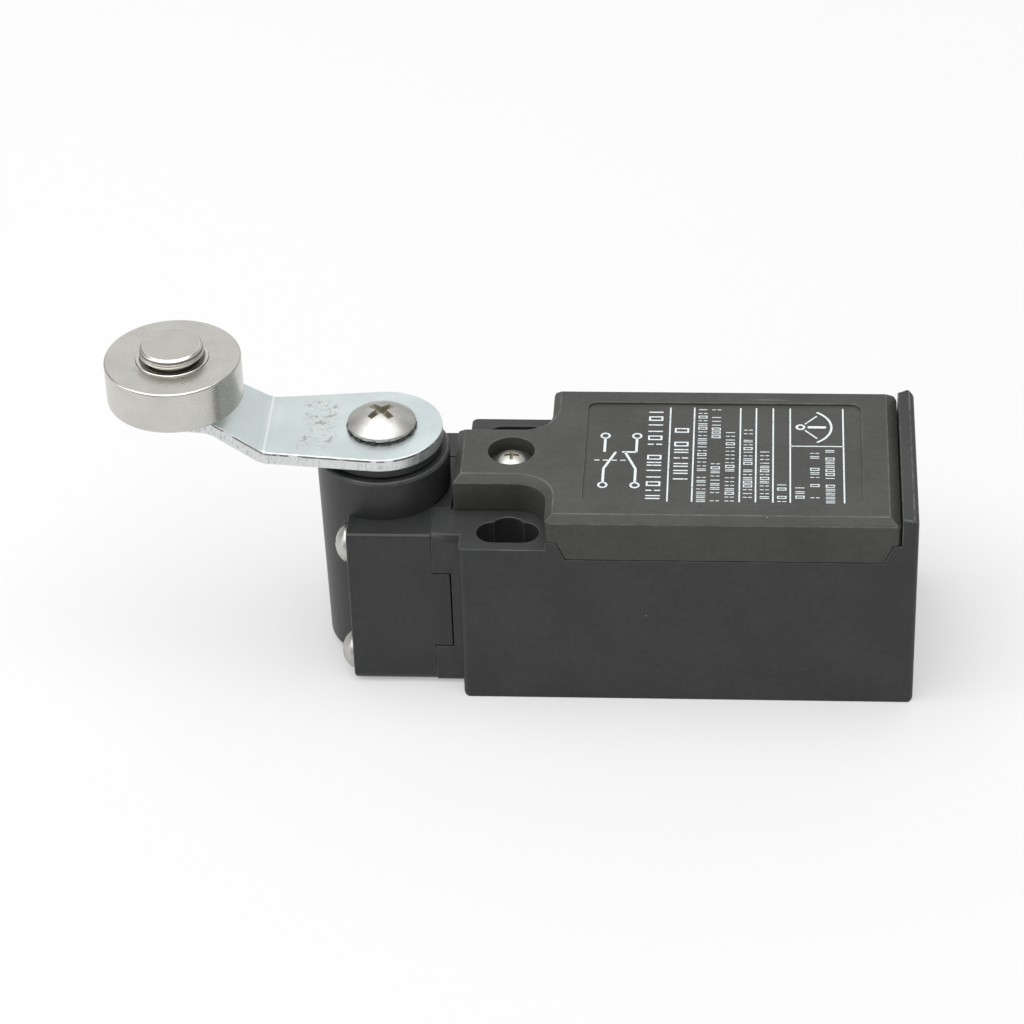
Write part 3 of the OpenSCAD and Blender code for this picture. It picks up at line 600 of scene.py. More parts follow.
@dataclass(frozen=True)
class PrintedInk(Finish):
    """Pad-printed ink, thin in places."""

    def paint(self, paint: Paint) -> bpy.types.Material:
        """Builds the ink in an empty material."""
        thin = paint.noise(0.35, 3).ramp(0.28, 0.45)
        colour = paint.mix(thin, _shade(self.colour, 0.45), self.colour)
        return paint.finish(colour, paint.noise(0.5, 2) * 0.2 + 0.45, height_mm=thin * 0.003)


BASE_BLACK = MouldedPlastic(
    "base_black", Slot.HOUSING, (0.0255, 0.0265, 0.026), roughness=0.52, scraped_x_mm=50.6
)
COVER_BLACK = MouldedPlastic("cover_black", Slot.COVER, (0.042, 0.042, 0.040), roughness=0.5, dust=1.3)
# The head's stronger edge lightening is a painted highlight along its edges.
HEAD_BLACK = MouldedPlastic(
    "head_black", Slot.HEAD, (0.021, 0.022, 0.0215), roughness=0.4, grain_depth_mm=0.003, dust=0.4, edge_wear_and_highlight_strength=1.6
)
DISC_BLACK = MouldedPlastic("disc_black", Slot.DISC, (0.016, 0.017, 0.017), roughness=0.45, dust=0.3)
CASE_CREAM = MouldedPlastic("case_cream", Slot.CASE, (0.62, 0.56, 0.43), edge_wear_and_highlight_strength=0.1, dust=0.2, clouds=0.08)
LID_BLACK = MouldedPlastic("lid_black", Slot.LID, (0.025, 0.025, 0.026), roughness=0.42, dust=0.4)
RUBBER = SoftRubber("gasket_rubber", Slot.RUBBER, (0.012, 0.012, 0.012))
INK = PrintedInk("label_ink", Slot.COVER, (0.62, 0.67, 0.68))
SCREW_NICKEL = PlatedScrew("screw_nickel", Slot.SCREW, (0.50, 0.495, 0.47))
DARK_STEEL = PlainMetal("blackened_steel", Slot.DARK_STEEL, (0.10, 0.10, 0.10), roughness=0.45)
STEEL = PlainMetal("bare_steel", Slot.STEEL, (0.52, 0.52, 0.51))
SPRING_STEEL = PlainMetal("spring_wire", Slot.SPRING, (0.46, 0.46, 0.47), roughness=0.28)
BRASS = PlainMetal("turned_brass", Slot.BRASS, (0.72, 0.52, 0.22), tarnish=(0.25, 0.14, 0.05))
BRONZE = PlainMetal("sintered_bronze", Slot.BRONZE, (0.50, 0.33, 0.18), roughness=0.5, tarnish_share=0.6)
COPPER = PlainMetal("contact_copper_strip", Slot.COPPER, (0.80, 0.46, 0.28), tarnish=(0.30, 0.12, 0.06))


# ---- meshes ----


def add_object(name: str, data: Any) -> bpy.types.Object:
    """Adds an object that shows this data."""
    made = bpy.data.objects.new(name, data)
    bpy.context.scene.collection.objects.link(made)
    return made


@dataclass(frozen=True)
class Piece:
    """What a finished mesh is called, and how it joins the frame."""

    name: str
    body: Body
    finish: Finish
    stands_for: tuple[str, ...] = ()

    def fit(self, mesh: bpy.types.Mesh, sharp_deg: float = 34.0) -> bpy.types.Object:
        """Puts a finished mesh into the frame.

        Args:
            mesh: closed mesh in its place.
            sharp_deg: angle past which an edge stays sharp.

        Returns:
            The new object.
        """
        mesh.name = self.name
        mesh.materials.clear()
        mesh.materials.append(self.finish.material())
        mesh.shade_smooth()
        mesh.set_sharp_from_angle(angle=math.radians(sharp_deg))
        made = add_object(self.name, mesh)
        made.modifiers.new("even_faces", "WEIGHTED_NORMAL").keep_sharp = True
        if self.stands_for:
            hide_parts(*self.stands_for)
        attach(made, self.body.value)
        LOG.info("piece %s on %s: %d faces", self.name, self.body.value, len(mesh.polygons))
        return made


def dress(finish: Finish, *nodes: str) -> None:
    """Gives CAD nodes a finish.

    Args:
        finish: what their surface is.
        nodes: their names.
    """
    for node in nodes:
        kept = frame["nodes"][node]
        kept.data.materials.clear()
        kept.data.materials.append(finish.material())
        LOG.info("node %s: %s", node, finish.name)


def box_mm(node: str) -> tuple[Vector, Vector]:
    """Lowest and highest corner of a CAD node, in millimetres."""
    low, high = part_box(node)
    return low / MM, high / MM


def axis_mm(node: str) -> Point2:
    """Where the middle of a CAD node stands in X and Y, in millimetres."""
    low, high = box_mm(node)
    return (low.x + high.x) / 2, (low.y + high.y) / 2


def cad_copy(node: str) -> bmesh.types.BMesh:
    """A merged copy of a CAD node, with its flat faces whole again.

    Args:
        node: the node's name.

    Returns:
        A closed editable mesh.
    """
    shape = bmesh.new()
    shape.from_mesh(frame["nodes"][node].data)
    bmesh.ops.remove_doubles(shape, verts=shape.verts[:], dist=MERGE)
    flat = math.radians(0.3)
    bmesh.ops.dissolve_limit(shape, angle_limit=flat, verts=shape.verts[:], edges=shape.edges[:])
    return shape


def round_edges(
    shape: bmesh.types.BMesh, edges: list[bmesh.types.BMEdge], width_mm: float, segments: int
) -> None:
    """Bevels chosen edges.

    Args:
        shape: the mesh, changed in place.
        edges: the edges.
        width_mm: width of the bevel.
        segments: number of faces across it.
    """
    bmesh.ops.bevel(shape, geom=edges, offset=width_mm * MM, segments=segments, profile=0.5, affect="EDGES")


def soften(shape: bmesh.types.BMesh, width_mm: float, sharp_deg: float = 30.0) -> None:
    """Rounds every sharp outer edge a little and marks the new faces.

    Args:
        shape: the mesh, changed in place.
        width_mm: width of the rounding.
        sharp_deg: an edge is sharp past this angle.
    """
    limit = math.radians(sharp_deg)
    mark = shape.faces.layers.float.new(EDGE_MARK)
    marked = bmesh.ops.bevel(
        shape,
        geom=[edge for edge in shape.edges if edge.is_manifold and edge.calc_face_angle_signed() > limit],
        offset=width_mm * MM,
        segments=2,
        profile=0.5,
        affect="EDGES",
        loop_slide=True,
    )
    for face in marked["faces"]:
        face[mark] = 1.0


def to_mesh(shape: bmesh.types.BMesh) -> bpy.types.Mesh:
    """Turns an editable mesh into a plain one, and frees it."""
    mesh = bpy.data.meshes.new("shape")
    shape.to_mesh(mesh)
    shape.free()
    return mesh


def add_ring(shape: bmesh.types.BMesh, spots_mm: Iterable[Sequence[float]]) -> list[bmesh.types.BMVert]:
    """Adds loose points to a mesh."""
    return [shape.verts.new(Vector(spot) * MM) for spot in spots_mm]


def skin(shape: bmesh.types.BMesh, rings: Sequence[Sequence[bmesh.types.BMVert]], closed: bool) -> None:
    """Lays faces between rings of points that follow one another.

    Args:
        shape: the mesh, changed in place.
        rings: the rings, all with the same number of points.
        closed: True where the last ring joins the first.
    """
    sides = len(rings[0])
    pairs = list(zip(rings, rings[1:])) + ([(rings[-1], rings[0])] if closed else [])
    for first, last in pairs:
        for side in range(sides):
            ahead = (side + 1) % sides
            shape.faces.new((first[side], first[ahead], last[ahead], last[side]))


def rounded(corners: Sequence[Colour], closed: bool, steps: int = 5) -> list[Point2]:
    """An outline with its corners rounded.

    Args:
        corners: across, up and corner radius of each corner.
        closed: True where the last corner joins the first.
        steps: number of stretches in each round corner.

    Returns:
        The points of the outline.
    """
    points: list[Point2] = []
    count = len(corners)
    for index, (across, up, radius) in enumerate(corners):
        at_end = not closed and index in (0, count - 1)
        if radius <= 0 or at_end:
            points.append((across, up))
            continue
        here = Vector((across, up))
        back = (Vector(corners[index - 1][:2]) - here).normalized()
        ahead = (Vector(corners[(index + 1) % count][:2]) - here).normalized()
        half = back.angle(ahead) / 2
        centre = here + (back + ahead).normalized() * (radius / math.sin(half))
        first = here + back * (radius / math.tan(half)) - centre
        last = here + ahead * (radius / math.tan(half)) - centre
        for step in range(steps + 1):
            spoke = first.lerp(last, step / steps).normalized() * radius
            points.append((centre.x + spoke.x, centre.y + spoke.y))
    return points


def turned(outline: Sequence[Point2], axis: Point2, closed: bool, steps: int = 160) -> bpy.types.Mesh:
    """A turned solid on an axis along Z.

    Args:
        outline: radius and height of each point, in millimetres.
        axis: where the axis stands, in millimetres.
        closed: True for a ring, False for an outline that starts and ends on the axis.
        steps: number of faces round the axis.

    Returns:
        A closed mesh.
    """
    shape = bmesh.new()
    turn = [2 * math.pi * step / steps for step in range(steps)]
    rings = [
        add_ring(shape, [(axis[0] + r * math.cos(a), axis[1] + r * math.sin(a), z) for a in turn])
        for r, z in outline
    ]
    skin(shape, rings, closed)
    bmesh.ops.remove_doubles(shape, verts=shape.verts[:], dist=MERGE)
    bmesh.ops.recalc_face_normals(shape, faces=shape.faces[:])
    return to_mesh(shape)


def mark_rims(mesh: bpy.types.Mesh, widest_mm: float) -> bpy.types.Mesh:
    """Marks the narrow leaning faces of a turned piece, which are its rounded rims.

    Args:
        mesh: the turned mesh.
        widest_mm: a face counts as a rim if its area over its longest side is below this.

    Returns:
        The same mesh.
    """
    shape = bmesh.new()
    shape.from_mesh(mesh)
    mark = shape.faces.layers.float.new(EDGE_MARK)
    for face in shape.faces:
        longest = max(edge.calc_length() for edge in face.edges)
        leans = 0.15 < abs(face.normal.z) < 0.985
        face[mark] = float(leans and face.calc_area() / longest < widest_mm * MM)
    shape.to_mesh(mesh)
    shape.free()
    return mesh


@dataclass
class InkPen:
    """Draws flat strips of ink between two levels."""

    shape: bmesh.types.BMesh
    low_mm: float
    high_mm: float

    def line(self, path: Sequence[Point2], width_mm: float) -> None:
        """Draws one strip.

        Args:
            path: points in X and Y, in millimetres; the last may repeat the first.
            width_mm: width of the strip.
        """
        count = len(path)
        loop = (Vector(path[0]) - Vector(path[-1])).length < width_mm * 0.1
        if loop:
            count -= 1
        rings = []
        for index in range(count):
            behind = Vector(path[(index - 1) % count] if loop else path[max(index - 1, 0)])
            ahead = Vector(path[(index + 1) % count] if loop else path[min(index + 1, count - 1)])
            along = (ahead - behind).normalized()
            across = Vector((-along.y, along.x)) * (width_mm / 2)
            left = Vector(path[index]) + across
            right = Vector(path[index]) - across
            low, high = self.low_mm, self.high_mm
            levels = ((left, low), (left, high), (right, high), (right, low))
            rings.append(add_ring(self.shape, [(*spot, level) for spot, level in levels]))
        skin(self.shape, rings, loop)
        if not loop:
            self.shape.faces.new(reversed(rings[0]))
            self.shape.faces.new(rings[-1])


def arc(centre: Point2, radius: float, start_deg: float, end_deg: float, steps: int = 24) -> list[Point2]:
    """Points along an arc.

    Args:
        centre: its centre.
        radius: its radius.
        start_deg: angle of its first point.
        end_deg: angle of its last point.
        steps: number of stretches.

    Returns:
        The points.
    """
    turn = [math.radians(start_deg + (end_deg - start_deg) * step / steps) for step in range(steps + 1)]
    return [(centre[0] + radius * math.cos(a), centre[1] + radius * math.sin(a)) for a in turn]


# ---- geometry node trees ----


class Grower(Tree):
    """A Geometry Nodes tree with named inputs, run once on a seed mesh."""

    def __init__(self, name: str, **inputs: Sequence[str]) -> None:
        """Makes the group.

        Args:
            name: the group's name.
            inputs: labels of the inputs by their type, besides the seed mesh and the material.
        """
        group = bpy.data.node_groups.new(name, "GeometryNodeTree")
        super().__init__(group)
        labels = {"Seed Mesh": "Geometry", "Material": "Material"}
        for kind, named in inputs.items():
            labels.update({label: kind for label in named})
        for label, kind in labels.items():
            group.interface.new_socket(label, in_out="INPUT", socket_type="NodeSocket" + kind)
        group.interface.new_socket("Grown", in_out="OUTPUT", socket_type="NodeSocketGeometry")
        self.entry = self.node("NodeGroupInput")

    def given(self, label: str) -> Signal:
        """One of the group's inputs."""
        return self.out(self.entry, label)

    def made(self, kind: str, **sockets: Any) -> Signal:
        """First output of a Geometry Nodes node, its sockets named with _ for a space."""
        named = {label.replace("_", " "): value for label, value in sockets.items()}
        return self.out(self.node("GeometryNode" + kind, None, named))

    def cube(self, x: Any, y: Any, z: Any) -> Signal:
        """A box of these three sides, centred on the origin."""
        return self.made("MeshCube", Size=self.join_xyz(x, y, z))

    def moved(self, mesh: Signal, x: Any, y: Any = 0.0, z: Any = 0.0) -> Signal:
        """A mesh moved by these three distances."""
        return self.made("Transform", Geometry=mesh, Translation=self.join_xyz(x, y, z))

    def twins(self, mesh: Signal, x: Any, y: Any = 0.0) -> Signal:
        """Two copies of a mesh, moved by the same distances to opposite sides."""
        return self.joined(*(self.moved(mesh, x * sign, y * sign) for sign in (-1, 1)))

    def joined(self, *meshes: Signal) -> Signal:
        """Several meshes as one."""
        made = self.node("GeometryNodeJoinGeometry")
        for mesh in meshes:
            self.nodes.links.new(mesh.socket, made.inputs[0])
        return self.out(made)

    def marked(self, mesh: Signal, name: str, value: float) -> Signal:
        """A mesh with a number stored on every face."""
        settings = {"data_type": "FLOAT", "domain": "FACE"}
        sockets = {"Geometry": mesh, "Name": name, "Value": value}
        return self.out(self.node("GeometryNodeStoreNamedAttribute", settings, sockets))

    def facing(self, axis: str, way: Signal, turn: Any = 0.0, tilt: Any = 0.0) -> Signal:
        """A rotation that points an axis some way, after a turn of its own.

        Args:
            axis: the axis, X or Z.
            way: the direction that it is to point.
            turn: turn about Z before that, in radians.
            tilt: turn about X before that, in radians.

        Returns:
            The rotation.
        """
        aimed = self.node("FunctionNodeAlignRotationToVector", {"axis": axis}, {"Vector": way})
        own = self.node("FunctionNodeEulerToRotation", None, {0: self.join_xyz(tilt, 0.0, turn)})
        sockets = {0: self.out(aimed), 1: self.out(own)}
        return self.out(self.node("FunctionNodeRotateRotation", {"rotation_space": "LOCAL"}, sockets))

    def chance(self, kind: str, **values: Any) -> Signal:
        """A random value for each point.

        Args:
            kind: type of the value.
            values: limits, probability and seed by name.

        Returns:
            The value.
        """
        made = self.node("FunctionNodeRandomValue", {"data_type": kind})
        for label, value in values.items():
            socket = [one for one in made.inputs if one.name == label and one.enabled][0]
            if isinstance(value, Signal):
                self.nodes.links.new(value.socket, socket)
            else:
                socket.default_value = value
        return Signal(self, [one for one in made.outputs if one.enabled][0])

    def close(self, instances: Signal) -> "Grower":
        """Ends the tree: plain mesh, one material.

        Args:
            instances: what the tree has made.

        Returns:
            The tree itself.
        """
        plain = self.made("RealizeInstances", Geometry=instances)
        done = self.made("SetMaterial", Geometry=plain, Material=self.given("Material"))
        self.node("NodeGroupOutput", None, {0: done})
        return self

    def grow(self, seed: bpy.types.Mesh, finish: Finish, values: Mapping[str, Any]) -> bpy.types.Mesh:
        """Runs the tree.

        Args:
            seed: the mesh that it starts from.
            finish: finish of the result.
            values: value of each other input.

        Returns:
            The result as a plain mesh.
        """
        host = add_object("seed", seed)
        run = host.modifiers.new("grow", "NODES")
        run.node_group = self.nodes
        names = {item.name: item.identifier for item in self.nodes.interface.items_tree}
        for label, value in {**values, "Material": finish.material()}.items():
            run[names[label]] = value
        graph = bpy.context.evaluated_depsgraph_get()
        grown = bpy.data.meshes.new_from_object(host.evaluated_get(graph), depsgraph=graph)
        bpy.data.objects.remove(host)
        return grown


def seed_points(
    spots_mm: Iterable[Sequence[float]], lines: Sequence[tuple[int, int]] = ()
) -> bpy.types.Mesh:
    """A seed mesh of loose points, or of lines between them."""
    mesh = bpy.data.meshes.new("seed")
    mesh.from_pydata([Vector(spot) * MM for spot in spots_mm], list(lines), [])
    return mesh


def screw_grower() -> Grower:
    """A tree that cuts a cross recess into a screw and sets one on every seed point.

    Returns:
        The tree.
    """
    tree = Grower(
        "screw_set",
        Object=("Blank",),
        Float=("Head Top", "Arm Reach", "Arm Width", "Arm Depth", "Least Turn", "Most Turn"),
        Vector=("Facing",),
        Int=("Seed",),
    )
    depth = tree.given("Arm Depth")
    width = tree.given("Arm Width")
    reach = tree.given("Arm Reach") * 2
    arms = tree.joined(tree.cube(reach, width, depth * 2), tree.cube(width, reach, depth * 2))
    x, y, z = tree.split_xyz(tree.made("InputPosition"))
    narrow = 1 - (0 - z / depth).most(0.0) * 0.55
    tapered = tree.made("SetPosition", Geometry=arms, Position=tree.join_xyz(x * narrow, y * narrow, z))
    cutter = tree.moved(tree.marked(tapered, RECESS_MARK, 1.0), 0.0, z=tree.given("Head Top"))
    blank = tree.out(tree.node("GeometryNodeObjectInfo", None, {"Object": tree.given("Blank")}), "Geometry")
    cut = tree.node(
        "GeometryNodeMeshBoolean",
        {"operation": "DIFFERENCE", "solver": "EXACT"},
        {0: tree.marked(blank, RECESS_MARK, 0.0), 1: cutter, "Self Intersection": True},
    )
    limits = {"Min": tree.given("Least Turn"), "Max": tree.given("Most Turn"), "Seed": tree.given("Seed")}
    pose = tree.facing("Z", tree.given("Facing"), turn=tree.chance("FLOAT", **limits))
    points = tree.given("Seed Mesh")
    return tree.close(tree.made("InstanceOnPoints", Points=points, Instance=tree.out(cut), Rotation=pose))


def coil_grower() -> Grower:
    """A tree that winds a spring along X, with its end turns closer together.

    Returns:
        The tree.
    """
    tree = Grower(
        "coil",
        Int=("Steps",),
        Float=("Turns", "Coil Radius", "Wire Radius", "Length", "Closing"),
        Vector=("Start",),
    )
    steps = tree.given("Steps")
    share = tree.made("InputIndex") / (steps - 1)
    turn = share * tree.given("Turns") * (2 * math.pi)
    wave = (share * (2 * math.pi)).sine() * tree.given("Closing") / (2 * math.pi)
    radius = tree.given("Coil Radius")
    along = tree.given("Length") * (share - wave)
    spot = tree.join_xyz(along, radius * turn.cosine(), radius * turn.sine())
    place = tree.vector("ADD", spot, tree.given("Start"))
    path = tree.made("SetPosition", Geometry=tree.made("MeshLine", Count=steps), Position=place)
    wire = tree.made("CurvePrimitiveCircle", Resolution=10, Radius=tree.given("Wire Radius"))
    curve = tree.made("MeshToCurve", Mesh=path)
    return tree.close(tree.made("CurveToMesh", Curve=curve, Profile_Curve=wire, Fill_Caps=True))


def tooth_grower() -> Grower:
    """A tree that makes a lock washer: a flat ring with twisted teeth round its rim.

    Returns:
        The tree.
    """
    ring_sizes = ("Ring Radius", "Ring Width", "Thickness")
    tooth_sizes = ("Tooth Radius", "Tooth Length", "Tooth Width", "Twist")
    tree = Grower("lock_washer", Int=("Teeth",), Float=ring_sizes + tooth_sizes, Vector=("Place",))
    thickness = tree.given("Thickness")
    path = tree.made("CurvePrimitiveCircle", Resolution=112, Radius=tree.given("Ring Radius"))
    section = tree.made("CurvePrimitiveQuadrilateral", Width=tree.given("Ring Width"), Height=thickness)
    ring = tree.made("CurveToMesh", Curve=path, Profile_Curve=section, Fill_Caps=True)
    circle = tree.made("MeshCircle", Vertices=tree.given("Teeth"), Radius=tree.given("Tooth Radius"))
    pose = tree.facing("X", tree.made("InputPosition"), tilt=tree.given("Twist"))
    tooth = tree.cube(tree.given("Tooth Length"), tree.given("Tooth Width"), thickness)
    teeth = tree.made("InstanceOnPoints", Points=circle, Instance=tooth, Rotation=pose)
    whole = tree.joined(ring, teeth)
    return tree.close(tree.made("Transform", Geometry=whole, Translation=tree.given("Place")))


def mark_grower() -> Grower:
    """A tree that lays rows of small plain marks, with gaps, along the seed's lines.

    Returns:
        The tree.
    """
    sizes = ("Pitch", "Height", "Width", "Pen", "Thickness", "Filled Share")
    tree = Grower("mark_rows", Float=sizes, Int=("Seed",))
    height, width, pen, thick = (tree.given(label) for label in ("Height", "Width", "Pen", "Thickness"))
    upright = tree.cube(height, pen, thick)
    cap = tree.cube(pen, width - pen * 2, thick)
    hollow = tree.joined(tree.twins(upright, 0.0, (width - pen) / 2), tree.twins(cap, (height - pen) / 2))
    pair = tree.twins(upright, 0.0, width * 0.3)
    split = tree.twins(tree.cube(height * 0.42, pen, thick), height * 0.29)
    choices = tree.node("GeometryNodeGeometryToInstance")
    for shape in (upright, hollow, pair, split, hollow):
        tree.nodes.links.new(shape.socket, choices.inputs[0])
    curve = tree.made("MeshToCurve", Mesh=tree.given("Seed Mesh"))
    sockets = {"Curve": curve, "Length": tree.given("Pitch")}
    spots = tree.out(tree.node("GeometryNodeResampleCurve", {"mode": "LENGTH"}, sockets))
    seed = tree.given("Seed")
    placed = {
        "Points": spots,
        "Selection": tree.chance("BOOLEAN", Probability=tree.given("Filled Share"), Seed=seed),
        "Instance": tree.out(choices),
        "Instance Index": tree.chance("INT", Min=0, Max=4, Seed=seed),
        "Pick Instance": True,
    }
    return tree.close(tree.out(tree.node("GeometryNodeInstanceOnPoints", None, placed)))


# ---- sub-assemblies ----


@dataclass
class ScrewKind:
    """A pan-head screw with a cross recess, sized as its CAD node."""

    head_r: float
    head_h: float
    shank_r: float
    shank_l: float
    arm_reach: float = 0.58
    arm_width: float = 0.3
    arm_depth: float = 0.42
    rim_share: float = 0.24
    thread_pitch: float = 0.5
    thread_depth: float = 0.2
    plain_shank_l: float = 0.5
    dome_steps: int = 14

    def blank(self) -> bpy.types.Mesh:
        """The turned screw before its recess is cut, its head standing on Z = 0.

        Returns:
            A closed mesh.
        """
        rim = self.head_h * self.rim_share
        dome_h = self.head_h - rim
        dome_r = (self.head_r**2 + dome_h**2) / (2 * dome_h)
        reach = math.asin(self.head_r / dome_r)
        turns = [reach * step / self.dome_steps for step in range(self.dome_steps)]
        outline = [(dome_r * math.sin(a), self.head_h - dome_r + dome_r * math.cos(a)) for a in turns]
        seat = [(self.head_r, rim, 0.05), (self.head_r, 0.0, 0.08), (self.shank_r, 0.0, 0)]
        outline += rounded(seat, False)
        root = self.shank_r - self.thread_depth
        for turn in range(int((self.shank_l - 2 * self.plain_shank_l) / self.thread_pitch)):
            top = -self.plain_shank_l - turn * self.thread_pitch
            outline += [(root, top), (self.shank_r, top - self.thread_pitch / 2)]
        outline += [(root, -self.shank_l + 0.3), (root - 0.3, -self.shank_l), (0.0, -self.shank_l)]
        return turned(outline, (0.0, 0.0), False, steps=64)

    def set_on(
        self,
        piece: Piece,
        spots_mm: Sequence[Sequence[float]],
        facing: Colour = (0, 0, 1),
        turn_deg: Point2 = (0.0, 90.0),
        seed: int = 3,
    ) -> None:
        """Makes the screws and puts them into the frame.

        Args:
            piece: the finished piece's name and place.
            spots_mm: the middle of each head's underside.
            facing: direction that the heads face.
            turn_deg: least and most turn of the cross.
            seed: seed of the turns.
        """
        blank = add_object("screw_blank", self.blank())
        values = {
            "Blank": blank,
            "Head Top": self.head_h * MM,
            "Arm Reach": self.head_r * self.arm_reach * MM,
            "Arm Width": self.head_r * self.arm_width * MM,
            "Arm Depth": self.head_h * self.arm_depth * MM,
            "Facing": facing,
            "Least Turn": math.radians(turn_deg[0]),
            "Most Turn": math.radians(turn_deg[1]),
            "Seed": seed,
        }
        grown = screw_grower().grow(seed_points(spots_mm), piece.finish, values)
        bpy.data.objects.remove(blank)
        piece.fit(grown)


@dataclass
class TravelDiagram:
    """A printed lever in three positions under an arc."""

    hub_r_mm: float = 0.5
    line_mm: float = 0.3
    arm_mm: float = 3.4
    arm_from_mm: float = 0.95
    arm_line_mm: float = 0.22
    rest_line_mm: float = 0.5
    swing_deg: float = 50.0
    arc_r_mm: float = 4.1
    arc_half_deg: float = 58.0

    def draw(self, pen: InkPen, hub: Point2) -> None:
        """Draws it round the point where the lever turns.

        Args:
            pen: what draws.
            hub: that point, in millimetres.
        """
        pen.line(arc(hub, self.hub_r_mm, 0, 360), self.line_mm)
        for side in (-1, 0, 1):
            turn = math.radians(side * self.swing_deg)
            way = Vector((math.cos(turn), math.sin(turn)))
            ends = [tuple(Vector(hub) + way * far) for far in (self.arm_from_mm, self.arm_mm)]
            pen.line(ends, self.arm_line_mm if side else self.rest_line_mm)
        pen.line(arc(hub, self.arc_r_mm, -self.arc_half_deg, self.arc_half_deg), self.line_mm)


@dataclass
class ContactDiagram:
    """The usual drawing of one closing and one opening contact, linked by a broken line."""

    line_mm: float = 0.34
    apart_mm: float = 2.1
    end_mm: float = 5.6
    end_r_mm: float = 0.55
    end_line_mm: float = 0.26
    wire_from_mm: float = 0.6
    gap_mm: float = 1.9
    lean_mm: float = 1.5
    link_from_mm: float = -3.4
    link_pitch_mm: float = 1.15
    link_dash_mm: float = 0.7
    link_line_mm: float = 0.2

    def draw(self, pen: InkPen, middle: Point2) -> None:
        """Draws it round its centre.

        Args:
            pen: what draws.
            middle: the centre, in millimetres.
        """
        across, along = middle
        for side in (-1, 1):
            x = across + side * self.apart_mm
            for end in (-1, 1):
                y = along + end * self.end_mm
                pen.line(arc((x, y), self.end_r_mm, 0, 360), self.end_line_mm)
                pen.line([(x, y - end * self.wire_from_mm), (x, along + end * self.gap_mm)], self.line_mm)
            blade = [(x, along - self.gap_mm), (x - side * self.lean_mm, along + self.gap_mm)]
            pen.line(blade, self.line_mm)
        pen.line([(x, along + self.gap_mm), (x - self.gap_mm, along + self.gap_mm)], self.line_mm)
        for dash in range(4):
            start = across + self.link_from_mm + dash * self.link_pitch_mm
            pen.line([(start, along), (start + self.link_dash_mm, along)], self.link_line_mm)


@dataclass(frozen=True)
class MarkSize:
    """Size of the plain marks in a row, in millimetres, and the seed of their choice."""

    height: float
    width: float
    pen: float
    pitch: float
    seed: int

    def lay(self, name: str, spots_mm: Sequence[Sequence[float]], thick_mm: float) -> None:
        """Lays rows of marks.

        Args:
            name: the piece's name.
            spots_mm: start and end of each row in turn.
            thick_mm: thickness of the ink.
        """
        values = {
            "Height": self.height * MM,
            "Width": self.width * MM,
            "Pen": self.pen * MM,
            "Pitch": self.pitch * MM,
            "Thickness": thick_mm * MM,
            "Filled Share": 0.88,
            "Seed": self.seed,
        }
        lines = [(index, index + 1) for index in range(0, len(spots_mm), 2)]
        grown = mark_grower().grow(seed_points(spots_mm, lines), INK, values)
        Piece(name, Body.HOUSING, INK).fit(grown)


@dataclass
class Label:
    """What is printed in the cover's recess: rules, two diagrams and rows of plain marks."""

    ink_mm: float = 0.025
    recess_mm: float = 0.3
    neck_l_mm: float = 12.4
    rule_line_mm: float = 0.2
    rule_half_mm: float = 10.75
    rule_places_mm: tuple[float, ...] = (15.8, 19.0, 25.15, 27.25, 29.5, 31.75, 38.75)
    divider_y_mm: float = 2.0
    travel_place_mm: Point2 = (33.1, 6.4)
    contact_place_mm: Point2 = (9.4, -1.6)
    small: MarkSize = MarkSize(1.2, 0.62, 0.15, 0.84, 4)
    large: MarkSize = MarkSize(1.9, 1.05, 0.24, 1.45, 9)
    small_rows_mm: tuple[Colour, ...] = (
        (20.15, -10.5, 10.3),
        (21.95, -10.5, -2.2),
        (21.95, 4.0, 10.3),
        (23.85, -10.5, 5.0),
        (26.2, -10.5, 5.6),
        (28.4, -10.5, 0.6),
        (30.65, -10.5, -6.8),
        (33.0, -10.5, -6.4),
        (34.95, -10.5, 0.4),
        (36.95, -10.5, 0.9),
    )
    large_rows_mm: tuple[Colour, ...] = ((13.9, -9.8, 9.6), (17.4, -5.7, 5.4))

    def build(self) -> None:
        """Prints the label; places along X count from where the cover widens."""
        cover_low, cover_high = box_mm("front_cover")
        left = cover_low.x + self.neck_l_mm
        level = cover_high.z - self.recess_mm
        pen = InkPen(bmesh.new(), level - self.ink_mm, level + self.ink_mm)
        for place in self.rule_places_mm:
            ends = [(left + place, y) for y in (-self.rule_half_mm, self.rule_half_mm)]
            pen.line(ends, self.rule_line_mm)
        ends = [(left + place, self.divider_y_mm) for place in self.rule_places_mm[-2:]]
        pen.line(ends, self.rule_line_mm)
        TravelDiagram().draw(pen, (left + self.travel_place_mm[0], self.travel_place_mm[1]))
        ContactDiagram().draw(pen, (left + self.contact_place_mm[0], self.contact_place_mm[1]))
        Piece("label_rules", Body.HOUSING, INK).fit(to_mesh(pen.shape))
        for name, size, rows in (
            ("label_rows_small", self.small, self.small_rows_mm),
            ("label_rows_large", self.large, self.large_rows_mm),
        ):
            spots = [(left + place, end, level) for place, *ends in rows for end in ends]
            size.lay(name, spots, pen.high_mm - pen.low_mm)


